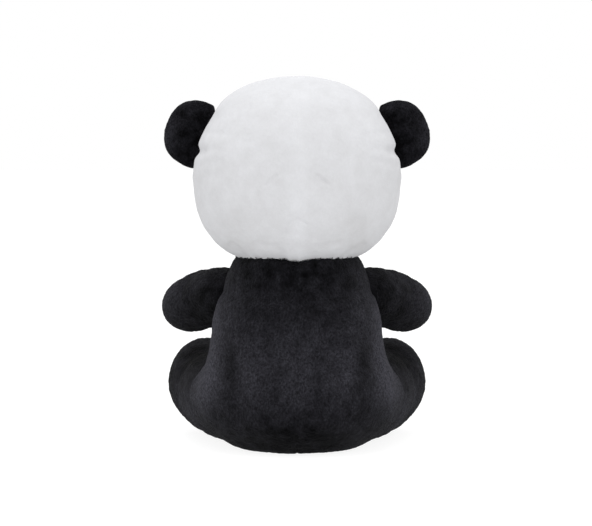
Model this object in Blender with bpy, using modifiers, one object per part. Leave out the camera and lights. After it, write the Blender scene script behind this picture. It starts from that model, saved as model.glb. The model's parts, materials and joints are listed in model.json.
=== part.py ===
"""Seated plush panda, 250 mm tall, built from sewn cover panels, stuffing, plastic eyes and a nose.

The toy sits on the XY plane and faces -Y. Its own left side is +X. The origin is the middle of the
flat underside of the seat panel. Units are metres. Run with Blender 4.5.
"""

import math

import bmesh
import bpy
from mathutils import Matrix, Vector

# Cloth and seams
CLOTH = 0.0015  # thickness of a sewn cover panel
GAP = 0.0003  # room between pieces that touch
FILL_INSET = CLOTH + GAP  # from a cover's outer face to the stuffing
FAR = 0.3  # half size of a cutter that reaches past everything
THREAD_RADIUS = 0.0008

# Head: a rounded, slightly squared ball
HEAD_CENTRE = Vector((0.0, 0.0, 0.180))
HEAD_HALF_WIDTH = 0.070
HEAD_HALF_DEPTH = 0.064
HEAD_ABOVE = 0.070
HEAD_BELOW = 0.0597
HEAD_ROUNDNESS = 2.25
HEAD_SEAM_Y = -0.008  # side seam between the face and the back of the head

# Neck: a ball of stuffing that turns in the head and nods in the torso
NECK_Z = 0.1285
NECK_BALL = 0.023
NECK_BALL_ROOM = 0.0011
NECK_SLOPE = math.radians(11.5)  # how far the shoulders fall away so that the head can nod
HEAD_LIFT = 0.0008  # from the neck's line up to the head's lower edge
NECK_THREAD_RISE = 0.0034  # from the neck's line up to the thread
NECK_THREAD_LEAN = 2.2  # the head's surface slopes at the thread, so it stands off by this much more

# Torso: (height, half width, half depth, centre y) from the seat up to the neck
TORSO_SECTIONS = (
    (0.000, 0.047, 0.040, 0.000),
    (0.003, 0.056, 0.048, 0.000),
    (0.014, 0.066, 0.057, 0.000),
    (0.030, 0.0695, 0.060, -0.001),
    (0.048, 0.0665, 0.059, -0.003),
    (0.066, 0.0605, 0.056, -0.005),
    (0.082, 0.0580, 0.052, -0.005),
    (0.098, 0.0535, 0.047, -0.003),
    (0.112, 0.0475, 0.041, -0.001),
    (0.128, 0.0405, 0.036, 0.000),
)
TORSO_TOP_SHARE = 0.65  # how evenly the torso's rings share out the height
TORSO_SEAM_Y = -0.020  # side seam between the back panels and the belly
SEAT_SEAM_Z = 0.0075  # seam around the seat panel
PELLET_BAG_RADIUS = 0.029
PELLET_BAG_HEIGHT = 0.022
PELLET_BAG_Y = 0.013
PELLET_BAG_EDGE = 0.006

# Limbs: round sleeves with a ball end in the torso
ARM_ROOT = Vector((0.0460, -0.0160, 0.0965))
ARM_HAND = Vector((0.0708, -0.0450, 0.0955))
ARM_ROOT_RADIUS = 0.0185
ARM_HAND_RADIUS = 0.0218
ARM_SWING = (-10.0, 35.0)  # degrees, down and up
LEG_ROOT = Vector((0.0500, -0.0300, 0.0330))
LEG_FOOT = Vector((0.0600, -0.0800, 0.0330))
LEG_ROOT_RADIUS = 0.0280
LEG_FOOT_RADIUS = 0.0330
LEG_SWING = (-6.0, 18.0)  # degrees, inwards and outwards
SOLE_PART = 0.62  # the sole starts this far along the foot's ball, from its centre to its tip
SWING_ROOM = 0.0013  # space left in the torso around a limb in all its positions

# Ears: half discs that stand on the side seam of the head
EAR_ROOT = Vector((0.0655, -0.0060, 0.2105))
EAR_LEAN = math.radians(24.7)  # how far the ear points up from the horizontal
EAR_RADIUS = 0.0243
EAR_HALF_THICKNESS = 0.0046
EAR_BASE_HALF_THICKNESS = 0.0024
EAR_RISE = 0.45  # the ear is fully thick this far out, as a share of its radius
EAR_ROOM = 0.0019  # space between the head and the ear, so that the ear can fold

# Face: muzzle, eyes, nose and mouth
MUZZLE_CENTRE = Vector((0.0, -0.0540, 0.1620))
MUZZLE_SIZE = Vector((0.0270, 0.0210, 0.0185))
EYE_TURN = math.radians(23.0)
EYE_LIFT = math.radians(4.0)
EYE_RADIUS = 0.0062
EYE_HEIGHT = 0.0042
SHANK_RADIUS = 0.0022
EYE_SHANK_LENGTH = 0.0135
NOSE_SHANK_LENGTH = 0.0080
SHANK_ROOM = 0.0003
WASHER_RADIUS = 0.0070
WASHER_THICKNESS = 0.0016
EYE_WASHER_DEPTH = 0.0075
NOSE_WASHER_DEPTH = 0.0045
PATCH_HALF_WIDTH = 0.0125
PATCH_HALF_HEIGHT = 0.0170
PATCH_TILT = math.radians(28.0)
PATCH_THICKNESS = 0.0013
NOSE_HALF_WIDTH = 0.0085
NOSE_HALF_HEIGHT = 0.0060
NOSE_LIFT = math.radians(17.0)
BUTTON_BACK = 0.92  # size of a button's back face, as a share of its front
BUTTON_OVERLAP = 0.001  # how far a shank reaches into its button
HOLE_LENGTH = 0.03  # cutter for a hole through cloth
NOSE_HOLE_LENGTH = 0.05
NOSE_HOLE_MIDDLE = -0.0125
EYE_POCKET_FRONT = 0.002  # the room for a washer starts this far in front of the cloth
EYE_POCKET_BACK = 0.004  # and ends this far behind the washer
MOUTH_HALF_WIDTH = 0.0105
MOUTH_DROP = 0.0062
MOUTH_PEAK = 0.0032
MOUTH_SAG = 0.0014
MOUTH_STAND_OFF = 0.0013

MATERIALS = {
    "white_plush": ((0.72, 0.72, 0.74), 0.95),
    "black_plush": ((0.025, 0.024, 0.028), 0.95),
    "eye_plastic": ((0.010, 0.010, 0.012), 0.15),
    "nose_plastic": ((0.015, 0.014, 0.016), 0.30),
    "washer_plastic": ((0.80, 0.80, 0.78), 0.50),
    "stuffing": ((0.90, 0.90, 0.88), 1.00),
    "pellet_cloth": ((0.75, 0.73, 0.68), 0.90),
    "black_thread": ((0.020, 0.020, 0.020), 0.80),
}


# ---- scene, collections and materials ----


def clear_scene():
    for old in list(bpy.data.objects):
        bpy.data.objects.remove(old, do_unlink=True)


def make_collection(name):
    collection = bpy.data.collections.new(name)
    bpy.context.scene.collection.children.link(collection)
    return collection


def make_material(name):
    colour, roughness = MATERIALS[name]
    material = bpy.data.materials.new(name)
    material.use_nodes = True
    shader = material.node_tree.nodes["Principled BSDF"]
    shader.inputs["Base Color"].default_value = (*colour, 1.0)
    shader.inputs["Roughness"].default_value = roughness
    shader.inputs["Metallic"].default_value = 0.0
    material.diffuse_color = (*colour, 1.0)
    return material


def add_part(name, bm, material, place=None):
    """Make a part from a bmesh, at an optional place given as a matrix."""
    mesh = bpy.data.meshes.new(name)
    bm.to_mesh(mesh)
    bm.free()
    mesh.shade_smooth()
    mesh.set_sharp_from_angle(angle=math.radians(50.0))
    part = bpy.data.objects.new(name, mesh)
    part.data.materials.append(materials[material])
    part.matrix_world = place or Matrix.Identity(4)
    parts.objects.link(part)
    return part


def add_cutter(name, bm, place=None):
    """Make a cutter, which the model's parts are cut with and which isn't a part itself."""
    mesh = bpy.data.meshes.new(name)
    bm.to_mesh(mesh)
    bm.free()
    cutter = bpy.data.objects.new(name, mesh)
    cutter.matrix_world = place or Matrix.Identity(4)
    cutter.display_type = "WIRE"
    cutter.hide_render = True
    cutters.objects.link(cutter)
    return cutter


def add_wall(part, thickness=CLOTH):
    """Turn a closed form into a hollow cover whose wall lies inside it."""
    wall = part.modifiers.new("cloth", "SOLIDIFY")
    wall.thickness = thickness
    wall.offset = -1.0


def cut(part, cutter, operation="DIFFERENCE"):
    boolean = part.modifiers.new(cutter.name, "BOOLEAN")
    boolean.operation = operation
    boolean.solver = "EXACT"
    boolean.object = cutter


# ---- forms ----


def box(low, high):
    """A box between two corners."""
    bm = bmesh.new()
    size = Vector(high) - Vector(low)
    middle = (Vector(high) + Vector(low)) / 2
    bmesh.ops.create_cube(bm, size=1.0, matrix=Matrix.Translation(middle) @ Matrix.Diagonal((*size, 1.0)))
    return bm


def ball(radius, place=None, around=16, up=10):
    bm = bmesh.new()
    bmesh.ops.create_uvsphere(bm, u_segments=around, v_segments=up, radius=radius)
    if place is not None:
        bmesh.ops.translate(bm, verts=bm.verts, vec=place)
    return bm


def disc(radius, thickness, middle_z, sides=20):
    """A short cylinder on the local Z axis."""
    bm = bmesh.new()
    place = Matrix.Translation((0.0, 0.0, middle_z))
    bmesh.ops.create_cone(
        bm, cap_ends=True, segments=sides, radius1=radius, radius2=radius, depth=thickness, matrix=place
    )
    return bm


def head_radius(direction):
    """Distance from the head's centre to its surface in a unit direction."""
    height = HEAD_ABOVE if direction.z > 0.0 else HEAD_BELOW
    total = 0.0
    for part, half in zip(direction, (HEAD_HALF_WIDTH, HEAD_HALF_DEPTH, height)):
        total += abs(part / half) ** HEAD_ROUNDNESS
    return total ** (-1.0 / HEAD_ROUNDNESS)


def head_form(inset=0.0, around=24, up=14):
    """The head's outer form, moved inwards by the inset (or outwards if it is negative)."""
    bm = bmesh.new()
    bmesh.ops.create_uvsphere(bm, u_segments=around, v_segments=up, radius=1.0)
    for vertex in bm.verts:
        direction = vertex.co.normalized()
        vertex.co = HEAD_CENTRE + direction * (head_radius(direction) - inset)
    return bm


def torso_section(height):
    """Half width, half depth and centre y at a height, on a smooth curve through the sections."""
    rows = TORSO_SECTIONS
    index = 0
    while index < len(rows) - 2 and height > rows[index + 1][0]:
        index += 1
    low, high = rows[index], rows[index + 1]
    before = rows[max(index - 1, 0)]
    after = rows[min(index + 2, len(rows) - 1)]
    span = high[0] - low[0]
    t = min(max((height - low[0]) / span, 0.0), 1.0)
    values = []
    for k in (1, 2, 3):
        slope_low = (high[k] - before[k]) / (high[0] - before[0]) * span
        slope_high = (after[k] - low[k]) / (after[0] - low[0]) * span
        value = (2 * t**3 - 3 * t**2 + 1) * low[k] + (t**3 - 2 * t**2 + t) * slope_low
        value += (3 * t**2 - 2 * t**3) * high[k] + (t**3 - t**2) * slope_high
        values.append(value)
    return values


def torso_form(inset=0.0, around=26, up=14):
    """The torso's outer form: a flat seat, full hips and a taper to the neck."""
    bm = bmesh.new()
    bmesh.ops.create_uvsphere(bm, u_segments=around, v_segments=up, radius=1.0)
    top = TORSO_SECTIONS[-1][0]
    for vertex in bm.verts:
        unit = vertex.co.copy()
        ring = round((math.asin(max(-1.0, min(1.0, unit.z))) / math.pi + 0.5) * up)
        flat = max(abs(unit.x), abs(unit.y)) < 1e-5  # a pole of the sphere
        # the first and last rings lie on the flat ends, and the others share out the height
        share = min(max((ring - 1) / (up - 2), 0.0), 1.0)
        slow = 0.5 - 0.5 * math.cos(math.pi * share)
        height = top * (slow * (1.0 - TORSO_TOP_SHARE) + share * TORSO_TOP_SHARE)
        half_width, half_depth, centre = torso_section(height)
        turn = math.atan2(unit.y, unit.x)
        reach = 0.0 if flat else 1.0
        vertex.co.x = reach * math.cos(turn) * (half_width - inset)
        vertex.co.y = centre + reach * math.sin(turn) * (half_depth - inset)
        vertex.co.z = inset + height * (top - 2 * inset) / top
    return bm


def sleeve_form(root_radius, end_radius, length, inset=0.0, sides=16):
    """A limb along local +X: a ball at the origin, a tapered sleeve and a round end.

    The half outline is turned about the X axis with bmesh's spin.
    """
    outline = []
    lean = math.asin((end_radius - root_radius) / length)  # slope of the sleeve's side
    root_steps = 4
    for step in range(root_steps + 1):
        turn = math.pi - (math.pi / 2 - lean) * step / root_steps
        reach = root_radius - inset
        outline.append((reach * math.cos(turn), reach * math.sin(turn)))
    end_steps = 5
    for step in range(end_steps + 1):
        turn = (math.pi / 2 + lean) * (1 - step / end_steps)
        reach = end_radius - inset
        outline.append((length + reach * math.cos(turn), reach * math.sin(turn)))
    bm = bmesh.new()
    path = [bm.verts.new((x, 0.0, -max(r, 0.0))) for x, r in outline]
    path[0].co.z = 0.0
    path[-1].co.z = 0.0
    edges = [bm.edges.new(pair) for pair in zip(path, path[1:])]
    bmesh.ops.spin(
        bm, geom=path + edges, axis=(1.0, 0.0, 0.0), cent=(0.0, 0.0, 0.0), angle=math.tau, steps=sides
    )
    bmesh.ops.remove_doubles(bm, verts=bm.verts, dist=0.00001)
    bmesh.ops.recalc_face_normals(bm, faces=bm.faces)
    return bm


def ear_form(around=20, up=10):
    """A round ear in its own frame: +X points out of the head, Z runs along the ear's base."""
    bm = bmesh.new()
    bmesh.ops.create_uvsphere(bm, u_segments=around, v_segments=up, radius=1.0)
    bmesh.ops.rotate(bm, verts=bm.verts, cent=(0, 0, 0), matrix=Matrix.Rotation(math.pi / 2, 3, "X"))
    for vertex in bm.verts:
        out, across, along = vertex.co
        rise = min(max(out / EAR_RISE, 0.0), 1.0)
        rise = rise * rise * (3 - 2 * rise)
        thick = EAR_BASE_HALF_THICKNESS + (EAR_HALF_THICKNESS - EAR_BASE_HALF_THICKNESS) * rise
        vertex.co = Vector((out * EAR_RADIUS, across * thick, along * EAR_RADIUS))
    return bm


def swept_form(sleeve, swing, axis):
    """The convex space that a limb, given in its own frame, passes through over its swing."""
    low, high = swing
    steps = 2
    bm = bmesh.new()
    for step in range(steps + 1):
        turn = Matrix.Rotation(math.radians(low + (high - low) * step / steps), 3, axis)
        for vertex in sleeve.verts:
            bm.verts.new(turn @ vertex.co)
    sleeve.free()
    hull = bmesh.ops.convex_hull(bm, input=bm.verts)
    spare = {item for item in hull["geom_interior"] + hull["geom_unused"] if isinstance(item, bmesh.types.BMVert)}
    bmesh.ops.delete(bm, geom=list(spare), context="VERTS")
    bmesh.ops.recalc_face_normals(bm, faces=bm.faces)
    return bm


def limb_place(root, end, side):
    """A matrix at the limb's root whose X axis points at its end, mirrored for the right side."""
    start = Vector((root.x * side, root.y, root.z))
    finish = Vector((end.x * side, end.y, end.z))
    along = (finish - start).normalized()
    up = Vector((0.0, 0.0, 1.0))
    across = up.cross(along).normalized()
    up = along.cross(across)
    turn = Matrix((along, across, up)).transposed().to_4x4()
    return Matrix.Translation(start) @ turn


def face_place(point, direction):
    """A matrix at a point whose Z axis looks along a direction, with its Y axis as upright as it can be."""
    return Matrix.Translation(point) @ direction.to_track_quat("Z", "Y").to_matrix().to_4x4()


# ---- torso ----


def build_torso():
    neck_front = box((-FAR, -FAR, 0.0), (FAR, 0.0, FAR))
    neck_back = box((-FAR, 0.0, 0.0), (FAR, FAR, FAR))
    pivot = Vector((0.0, 0.0, NECK_Z - GAP))
    front_cutter = add_cutter(
        "neck_room_front", neck_front, Matrix.Translation(pivot) @ Matrix.Rotation(NECK_SLOPE, 4, "X")
    )
    back_cutter = add_cutter(
        "neck_room_back", neck_back, Matrix.Translation(pivot) @ Matrix.Rotation(-NECK_SLOPE, 4, "X")
    )
    neck_socket = add_cutter("neck_socket", ball(NECK_BALL + NECK_BALL_ROOM, pivot))
    opening = disc(1.0, HOLE_LENGTH, TORSO_SECTIONS[-1][0], sides=28)
    neck_size = (TORSO_SECTIONS[-1][1] - CLOTH, TORSO_SECTIONS[-1][2] - CLOTH, 1.0)
    bmesh.ops.scale(opening, vec=neck_size, verts=opening.verts)
    neck_opening = add_cutter("neck_opening", opening)
    sockets = []
    for side, label in ((1, "left"), (-1, "right")):
        arm_length = (ARM_HAND - ARM_ROOT).length
        arm = sleeve_form(ARM_ROOT_RADIUS, ARM_HAND_RADIUS, arm_length, -SWING_ROOM)
        arm_room = swept_form(arm, [-angle for angle in ARM_SWING], "Y")
        sockets.append(add_cutter(f"arm_room_{label}", arm_room, limb_place(ARM_ROOT, ARM_HAND, side)))
        leg_length = (LEG_FOOT - LEG_ROOT).length
        leg = sleeve_form(LEG_ROOT_RADIUS, LEG_FOOT_RADIUS, leg_length, -SWING_ROOM)
        leg_room = swept_form(leg, [angle * side for angle in LEG_SWING], "Z")
        sockets.append(add_cutter(f"leg_room_{label}", leg_room, limb_place(LEG_ROOT, LEG_FOOT, side)))
    half = GAP / 2
    regions = {
        "back_panel_left": ((half, TORSO_SEAM_Y + half, SEAT_SEAM_Z + half), (FAR, FAR, FAR)),
        "back_panel_right": ((-FAR, TORSO_SEAM_Y + half, SEAT_SEAM_Z + half), (-half, FAR, FAR)),
        "belly_panel": ((-FAR, -FAR, SEAT_SEAM_Z + half), (FAR, TORSO_SEAM_Y - half, FAR)),
        "seat_panel": ((-FAR, -FAR, -FAR), (FAR, FAR, SEAT_SEAM_Z - half)),
    }
    for name, (low, high) in regions.items():
        material = "white_plush" if name == "belly_panel" else "black_plush"
        panel = add_part(name, torso_form(), material)
        add_wall(panel)
        cut(panel, add_cutter(f"{name}_region", box(low, high)), "INTERSECT")
        for cutter in (neck_opening, front_cutter, back_cutter):
            cut(panel, cutter)
        for socket in sockets:
            cut(panel, socket)
    stuffing = add_part("body_stuffing", torso_form(FILL_INSET), "stuffing")
    for cutter in [front_cutter, back_cutter, neck_socket] + sockets:
        cut(stuffing, cutter)
    bag_height = PELLET_BAG_HEIGHT + FILL_INSET
    room = disc(PELLET_BAG_RADIUS + GAP, bag_height + GAP, (bag_height + GAP) / 2)
    cut(stuffing, add_cutter("pellet_bag_room", room, Matrix.Translation((0.0, PELLET_BAG_Y, 0.0))))
    bag = add_part("pellet_bag", disc(PELLET_BAG_RADIUS, PELLET_BAG_HEIGHT, 0.0), "pellet_cloth")
    bag.location = (0.0, PELLET_BAG_Y, FILL_INSET + PELLET_BAG_HEIGHT / 2)
    softened = bag.modifiers.new("soft_edges", "BEVEL")
    softened.width = PELLET_BAG_EDGE
    softened.segments = 3


# ---- neck and head ----


def build_neck():
    """The ball of stuffing in the neck, and the thread that closes the head's lower edge."""
    add_part("neck_stuffing", ball(NECK_BALL), "stuffing", Matrix.Translation((0.0, 0.0, NECK_Z)))
    height = NECK_Z + NECK_THREAD_RISE
    level = 1.0 - ((HEAD_CENTRE.z - height) / HEAD_BELOW) ** HEAD_ROUNDNESS
    level = level ** (1.0 / HEAD_ROUNDNESS)
    stand_off = NECK_THREAD_LEAN * (THREAD_RADIUS + GAP)
    bpy.ops.mesh.primitive_torus_add(
        location=(0.0, 0.0, height),
        major_segments=28,
        minor_segments=5,
        major_radius=1.0,
        minor_radius=THREAD_RADIUS,
    )
    thread = bpy.context.object
    thread.name = "neck_stitch"
    for vertex in thread.data.vertices:
        turn = math.atan2(vertex.co.y, vertex.co.x)
        out = math.hypot(vertex.co.x, vertex.co.y) - 1.0
        across, along = math.cos(turn), math.sin(turn)
        corner = (abs(across) ** HEAD_ROUNDNESS + abs(along) ** HEAD_ROUNDNESS) ** (-1.0 / HEAD_ROUNDNESS)
        vertex.co.x = (HEAD_HALF_WIDTH * level * corner + stand_off + out) * across
        vertex.co.y = (HEAD_HALF_DEPTH * level * corner + stand_off + out) * along
    thread.data.materials.append(materials["black_thread"])
    for collection in list(thread.users_collection):
        collection.objects.unlink(thread)
    parts.objects.link(thread)


def muzzle_form(inset=0.0, around=16, up=10):
    bm = bmesh.new()
    bmesh.ops.create_uvsphere(bm, u_segments=around, v_segments=up, radius=1.0)
    size = MUZZLE_SIZE - Vector((inset, inset, inset))
    for vertex in bm.verts:
        vertex.co = MUZZLE_CENTRE + Vector((vertex.co.x * size.x, vertex.co.y * size.y, vertex.co.z * size.z))
    return bm


def eye_place(side):
    direction = Vector(
        (
            side * math.sin(EYE_TURN) * math.cos(EYE_LIFT),
            -math.cos(EYE_TURN) * math.cos(EYE_LIFT),
            math.sin(EYE_LIFT),
        )
    )
    point = HEAD_CENTRE + direction * head_radius(direction)
    return face_place(point, direction)


def nose_place():
    direction = Vector((0.0, -math.cos(NOSE_LIFT), math.sin(NOSE_LIFT)))
    reach = 1.0 / math.hypot(direction.y / MUZZLE_SIZE.y, direction.z / MUZZLE_SIZE.z)
    return face_place(MUZZLE_CENTRE + direction * reach, direction)


def button_form(half_width, half_height, rise, start):
    """A domed plastic button on a shank. Its front is local +Z and its back face is at the start height."""
    bm = bmesh.new()
    outline = [(0.0, start + rise)]
    for step in range(1, 5):
        turn = math.pi / 2 * (1 - step / 4)
        outline.append((math.cos(turn), start + rise * math.sin(turn)))
    outline.append((BUTTON_BACK, start))
    path = [bm.verts.new((x, 0.0, z)) for x, z in outline]
    edges = [bm.edges.new(pair) for pair in zip(path, path[1:])]
    bmesh.ops.spin(
        bm, geom=path + edges, axis=(0.0, 0.0, 1.0), cent=(0.0, 0.0, 0.0), angle=math.tau, steps=16
    )
    bmesh.ops.remove_doubles(bm, verts=bm.verts, dist=0.00001)
    bmesh.ops.scale(bm, vec=(half_width, half_height, 1.0), verts=bm.verts)
    rim = [edge for edge in bm.edges if edge.is_boundary]
    bmesh.ops.holes_fill(bm, edges=rim, sides=0)
    bmesh.ops.recalc_face_normals(bm, faces=bm.faces)
    return bm


def build_button(name, place, half_width, half_height, material, start, shank_length):
    """A safety eye or nose: the button, and the shank that is joined to its back."""
    button = add_part(name, button_form(half_width, half_height, EYE_HEIGHT, start), material, place)
    middle = start + (BUTTON_OVERLAP - shank_length) / 2
    shank = disc(SHANK_RADIUS, shank_length + BUTTON_OVERLAP, middle, sides=12)
    cut(button, add_cutter(f"{name}_shank", shank, place), "UNION")
    return button


def build_washer(name, place, depth):
    form = disc(WASHER_RADIUS, WASHER_THICKNESS, -depth - WASHER_THICKNESS / 2)
    washer = add_part(name, form, "washer_plastic", place)
    hole = disc(SHANK_RADIUS + SHANK_ROOM, HOLE_LENGTH, -depth, sides=12)
    cut(washer, add_cutter(f"{name}_hole", hole, place))
    return washer


def build_head():
    half = GAP / 2
    neck_top = NECK_Z + HEAD_LIFT
    turned_ball = add_cutter(
        "head_socket", ball(NECK_BALL + NECK_BALL_ROOM, Vector((0.0, 0.0, NECK_Z)))
    )
    regions = {
        "head_back_left": ((half, HEAD_SEAM_Y + half, neck_top), (FAR, FAR, FAR)),
        "head_back_right": ((-FAR, HEAD_SEAM_Y + half, neck_top), (-half, FAR, FAR)),
        "face_left": ((half, -FAR, neck_top), (FAR, HEAD_SEAM_Y - half, FAR)),
        "face_right": ((-FAR, -FAR, neck_top), (-half, HEAD_SEAM_Y - half, FAR)),
    }
    panels = {}
    for name, (low, high) in regions.items():
        panels[name] = add_part(name, head_form(), "white_plush")
        add_wall(panels[name])
        cut(panels[name], add_cutter(f"{name}_region", box(low, high)), "INTERSECT")
    stuffing = add_part("head_stuffing", head_form(FILL_INSET), "stuffing")
    cut(stuffing, add_cutter("head_underside", box((-FAR, -FAR, neck_top), (FAR, FAR, FAR))), "INTERSECT")
    cut(stuffing, turned_ball)

    face = add_cutter("face_surface", head_form(-GAP))
    muzzle = add_part("muzzle_panel", muzzle_form(), "white_plush")
    add_wall(muzzle)
    cut(muzzle, face)
    filling = add_part("muzzle_stuffing", muzzle_form(FILL_INSET), "stuffing")
    cut(filling, face)

    nose = nose_place()
    start = GAP
    build_button("nose", nose, NOSE_HALF_WIDTH, NOSE_HALF_HEIGHT, "nose_plastic", start, NOSE_SHANK_LENGTH)
    build_washer("nose_washer", nose, NOSE_WASHER_DEPTH)
    nose_bore = disc(SHANK_RADIUS + SHANK_ROOM, NOSE_HOLE_LENGTH, NOSE_HOLE_MIDDLE, sides=12)
    nose_hole = add_cutter("nose_hole", nose_bore, nose)
    pocket_depth = WASHER_THICKNESS + 2 * GAP
    pocket_form = disc(WASHER_RADIUS + GAP, pocket_depth, -NOSE_WASHER_DEPTH - WASHER_THICKNESS / 2)
    nose_pocket = add_cutter("nose_pocket", pocket_form, nose)
    cut(muzzle, nose_hole)
    cut(filling, nose_hole)
    cut(filling, nose_pocket)

    for side, label in ((1, "left"), (-1, "right")):
        place = eye_place(side)
        patch = add_part(f"eye_patch_{label}", head_form(-GAP - PATCH_THICKNESS), "black_plush")
        add_wall(patch, PATCH_THICKNESS)
        oval = disc(1.0, HOLE_LENGTH, 0.0, sides=28)
        bmesh.ops.scale(oval, vec=(PATCH_HALF_WIDTH, PATCH_HALF_HEIGHT, 1.0), verts=oval.verts)
        tilt = Matrix.Rotation(PATCH_TILT * side, 4, "Z")
        cut(patch, add_cutter(f"eye_patch_outline_{label}", oval, place @ tilt), "INTERSECT")
        button_start = PATCH_THICKNESS + 3 * GAP
        build_button(
            f"eye_{label}", place, EYE_RADIUS, EYE_RADIUS, "eye_plastic", button_start, EYE_SHANK_LENGTH
        )
        build_washer(f"eye_washer_{label}", place, EYE_WASHER_DEPTH)
        bore = disc(SHANK_RADIUS + SHANK_ROOM, HOLE_LENGTH, 0.0, sides=12)
        hole = add_cutter(f"eye_hole_{label}", bore, place)
        depth = EYE_POCKET_FRONT + EYE_WASHER_DEPTH + WASHER_THICKNESS + EYE_POCKET_BACK
        room = disc(WASHER_RADIUS + GAP, depth, EYE_POCKET_FRONT - depth / 2)
        pocket = add_cutter(f"eye_pocket_{label}", room, place)
        cut(patch, hole)
        cut(panels[f"face_{label}"], hole)
        cut(stuffing, pocket)
        cut(stuffing, hole)


def build_mouth():
    """Mouth thread: one embroidered line on the muzzle, below the nose."""
    points = []
    count = 12
    for step in range(count + 1):
        across = -1.0 + 2.0 * step / count
        x = MOUTH_HALF_WIDTH * across
        peak = MOUTH_PEAK * abs(math.cos(math.pi * across / 2)) ** 3
        drop = MOUTH_DROP - peak + MOUTH_SAG * (1 - across * across)
        z = MUZZLE_CENTRE.z - drop
        lift = GAP + MOUTH_STAND_OFF
        flat = 1.0 - (x / (MUZZLE_SIZE.x + lift)) ** 2 - ((z - MUZZLE_CENTRE.z) / (MUZZLE_SIZE.z + lift)) ** 2
        y = MUZZLE_CENTRE.y - (MUZZLE_SIZE.y + lift) * math.sqrt(flat)
        points.append((x, y, z))
    curve = bpy.data.curves.new("mouth_stitch", "CURVE")
    curve.dimensions = "3D"
    curve.bevel_depth = THREAD_RADIUS
    curve.bevel_resolution = 1
    curve.use_fill_caps = True
    spline = curve.splines.new("POLY")
    spline.points.add(len(points) - 1)
    for point, place in zip(spline.points, points):
        point.co = (*place, 1.0)
    thread = bpy.data.objects.new("mouth_stitch", curve)
    thread.data.materials.append(materials["black_thread"])
    parts.objects.link(thread)


# ---- ears, arms and legs ----


def build_ear(side, label):
    """Front and back panels that lie on each other and turn on the ear's base line."""
    out = Vector((math.cos(EAR_LEAN) * side, 0.0, math.sin(EAR_LEAN)))
    base = Vector((-math.sin(EAR_LEAN) * side, 0.0, math.cos(EAR_LEAN)))
    across = base.cross(out)
    place = Matrix((out, across, base)).transposed().to_4x4()
    root = Vector((EAR_ROOT.x * side, EAR_ROOT.y, EAR_ROOT.z))
    place = Matrix.Translation(root) @ place
    half = GAP / 2
    head = bpy.data.objects["ear_clearance"]
    front = ((-FAR, -FAR, -FAR), (FAR, -half, FAR))
    back = ((-FAR, half, -FAR), (FAR, FAR, FAR))
    if side < 0:
        front, back = back, front
    for name, (low, high) in ((f"ear_{label}_front", front), (f"ear_{label}_back", back)):
        panel = add_part(name, ear_form(), "black_plush", place)
        cut(panel, add_cutter(f"{name}_region", box(low, high), place), "INTERSECT")
        cut(panel, head)


def build_arm(side, label):
    """Front and back panels over stuffing, on a ball in the shoulder."""
    length = (ARM_HAND - ARM_ROOT).length
    place = limb_place(ARM_ROOT, ARM_HAND, side)
    half = GAP / 2
    # local +Y is the arm's back on the left side and its front on the right side
    one = ((-FAR, half, -FAR), (FAR, FAR, FAR))
    other = ((-FAR, -FAR, -FAR), (FAR, -half, FAR))
    back, front = (one, other) if side > 0 else (other, one)
    for name, (low, high) in ((f"arm_{label}_back", back), (f"arm_{label}_front", front)):
        panel = add_part(name, sleeve_form(ARM_ROOT_RADIUS, ARM_HAND_RADIUS, length), "black_plush", place)
        add_wall(panel)
        cut(panel, add_cutter(f"{name}_region", box(low, high), place), "INTERSECT")
    inner = sleeve_form(ARM_ROOT_RADIUS, ARM_HAND_RADIUS, length, FILL_INSET)
    add_part(f"arm_{label}_stuffing", inner, "stuffing", place)


def build_leg(side, label):
    """Outer and inner panels and a sole over stuffing, on a ball in the hip."""
    length = (LEG_FOOT - LEG_ROOT).length
    place = limb_place(LEG_ROOT, LEG_FOOT, side)
    half = GAP / 2
    sole_x = length + LEG_FOOT_RADIUS * SOLE_PART
    one = ((-FAR, half, -FAR), (sole_x - half, FAR, FAR))
    other = ((-FAR, -FAR, -FAR), (sole_x - half, -half, FAR))
    outer, inner = (one, other) if side > 0 else (other, one)
    sole = ((sole_x + half, -FAR, -FAR), (FAR, FAR, FAR))
    regions = ((f"leg_{label}_outer", outer), (f"leg_{label}_inner", inner), (f"sole_{label}", sole))
    for name, (low, high) in regions:
        panel = add_part(name, sleeve_form(LEG_ROOT_RADIUS, LEG_FOOT_RADIUS, length), "black_plush", place)
        add_wall(panel)
        cut(panel, add_cutter(f"{name}_region", box(low, high), place), "INTERSECT")
    filling = sleeve_form(LEG_ROOT_RADIUS, LEG_FOOT_RADIUS, length, FILL_INSET)
    add_part(f"leg_{label}_stuffing", filling, "stuffing", place)


clear_scene()
parts = make_collection("plush_panda")
cutters = make_collection("plush_panda_cutters")
materials = {name: make_material(name) for name in MATERIALS}
build_torso()
build_neck()
build_head()
build_mouth()
add_cutter("ear_clearance", head_form(-EAR_ROOM))
for which, word in ((1, "left"), (-1, "right")):
    build_ear(which, word)
    build_arm(which, word)
    build_leg(which, word)
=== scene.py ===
import json
import math

import bmesh
import bpy
import numpy as np
from mathutils import Matrix, Vector, noise
from mathutils.bvhtree import BVHTree


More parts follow.
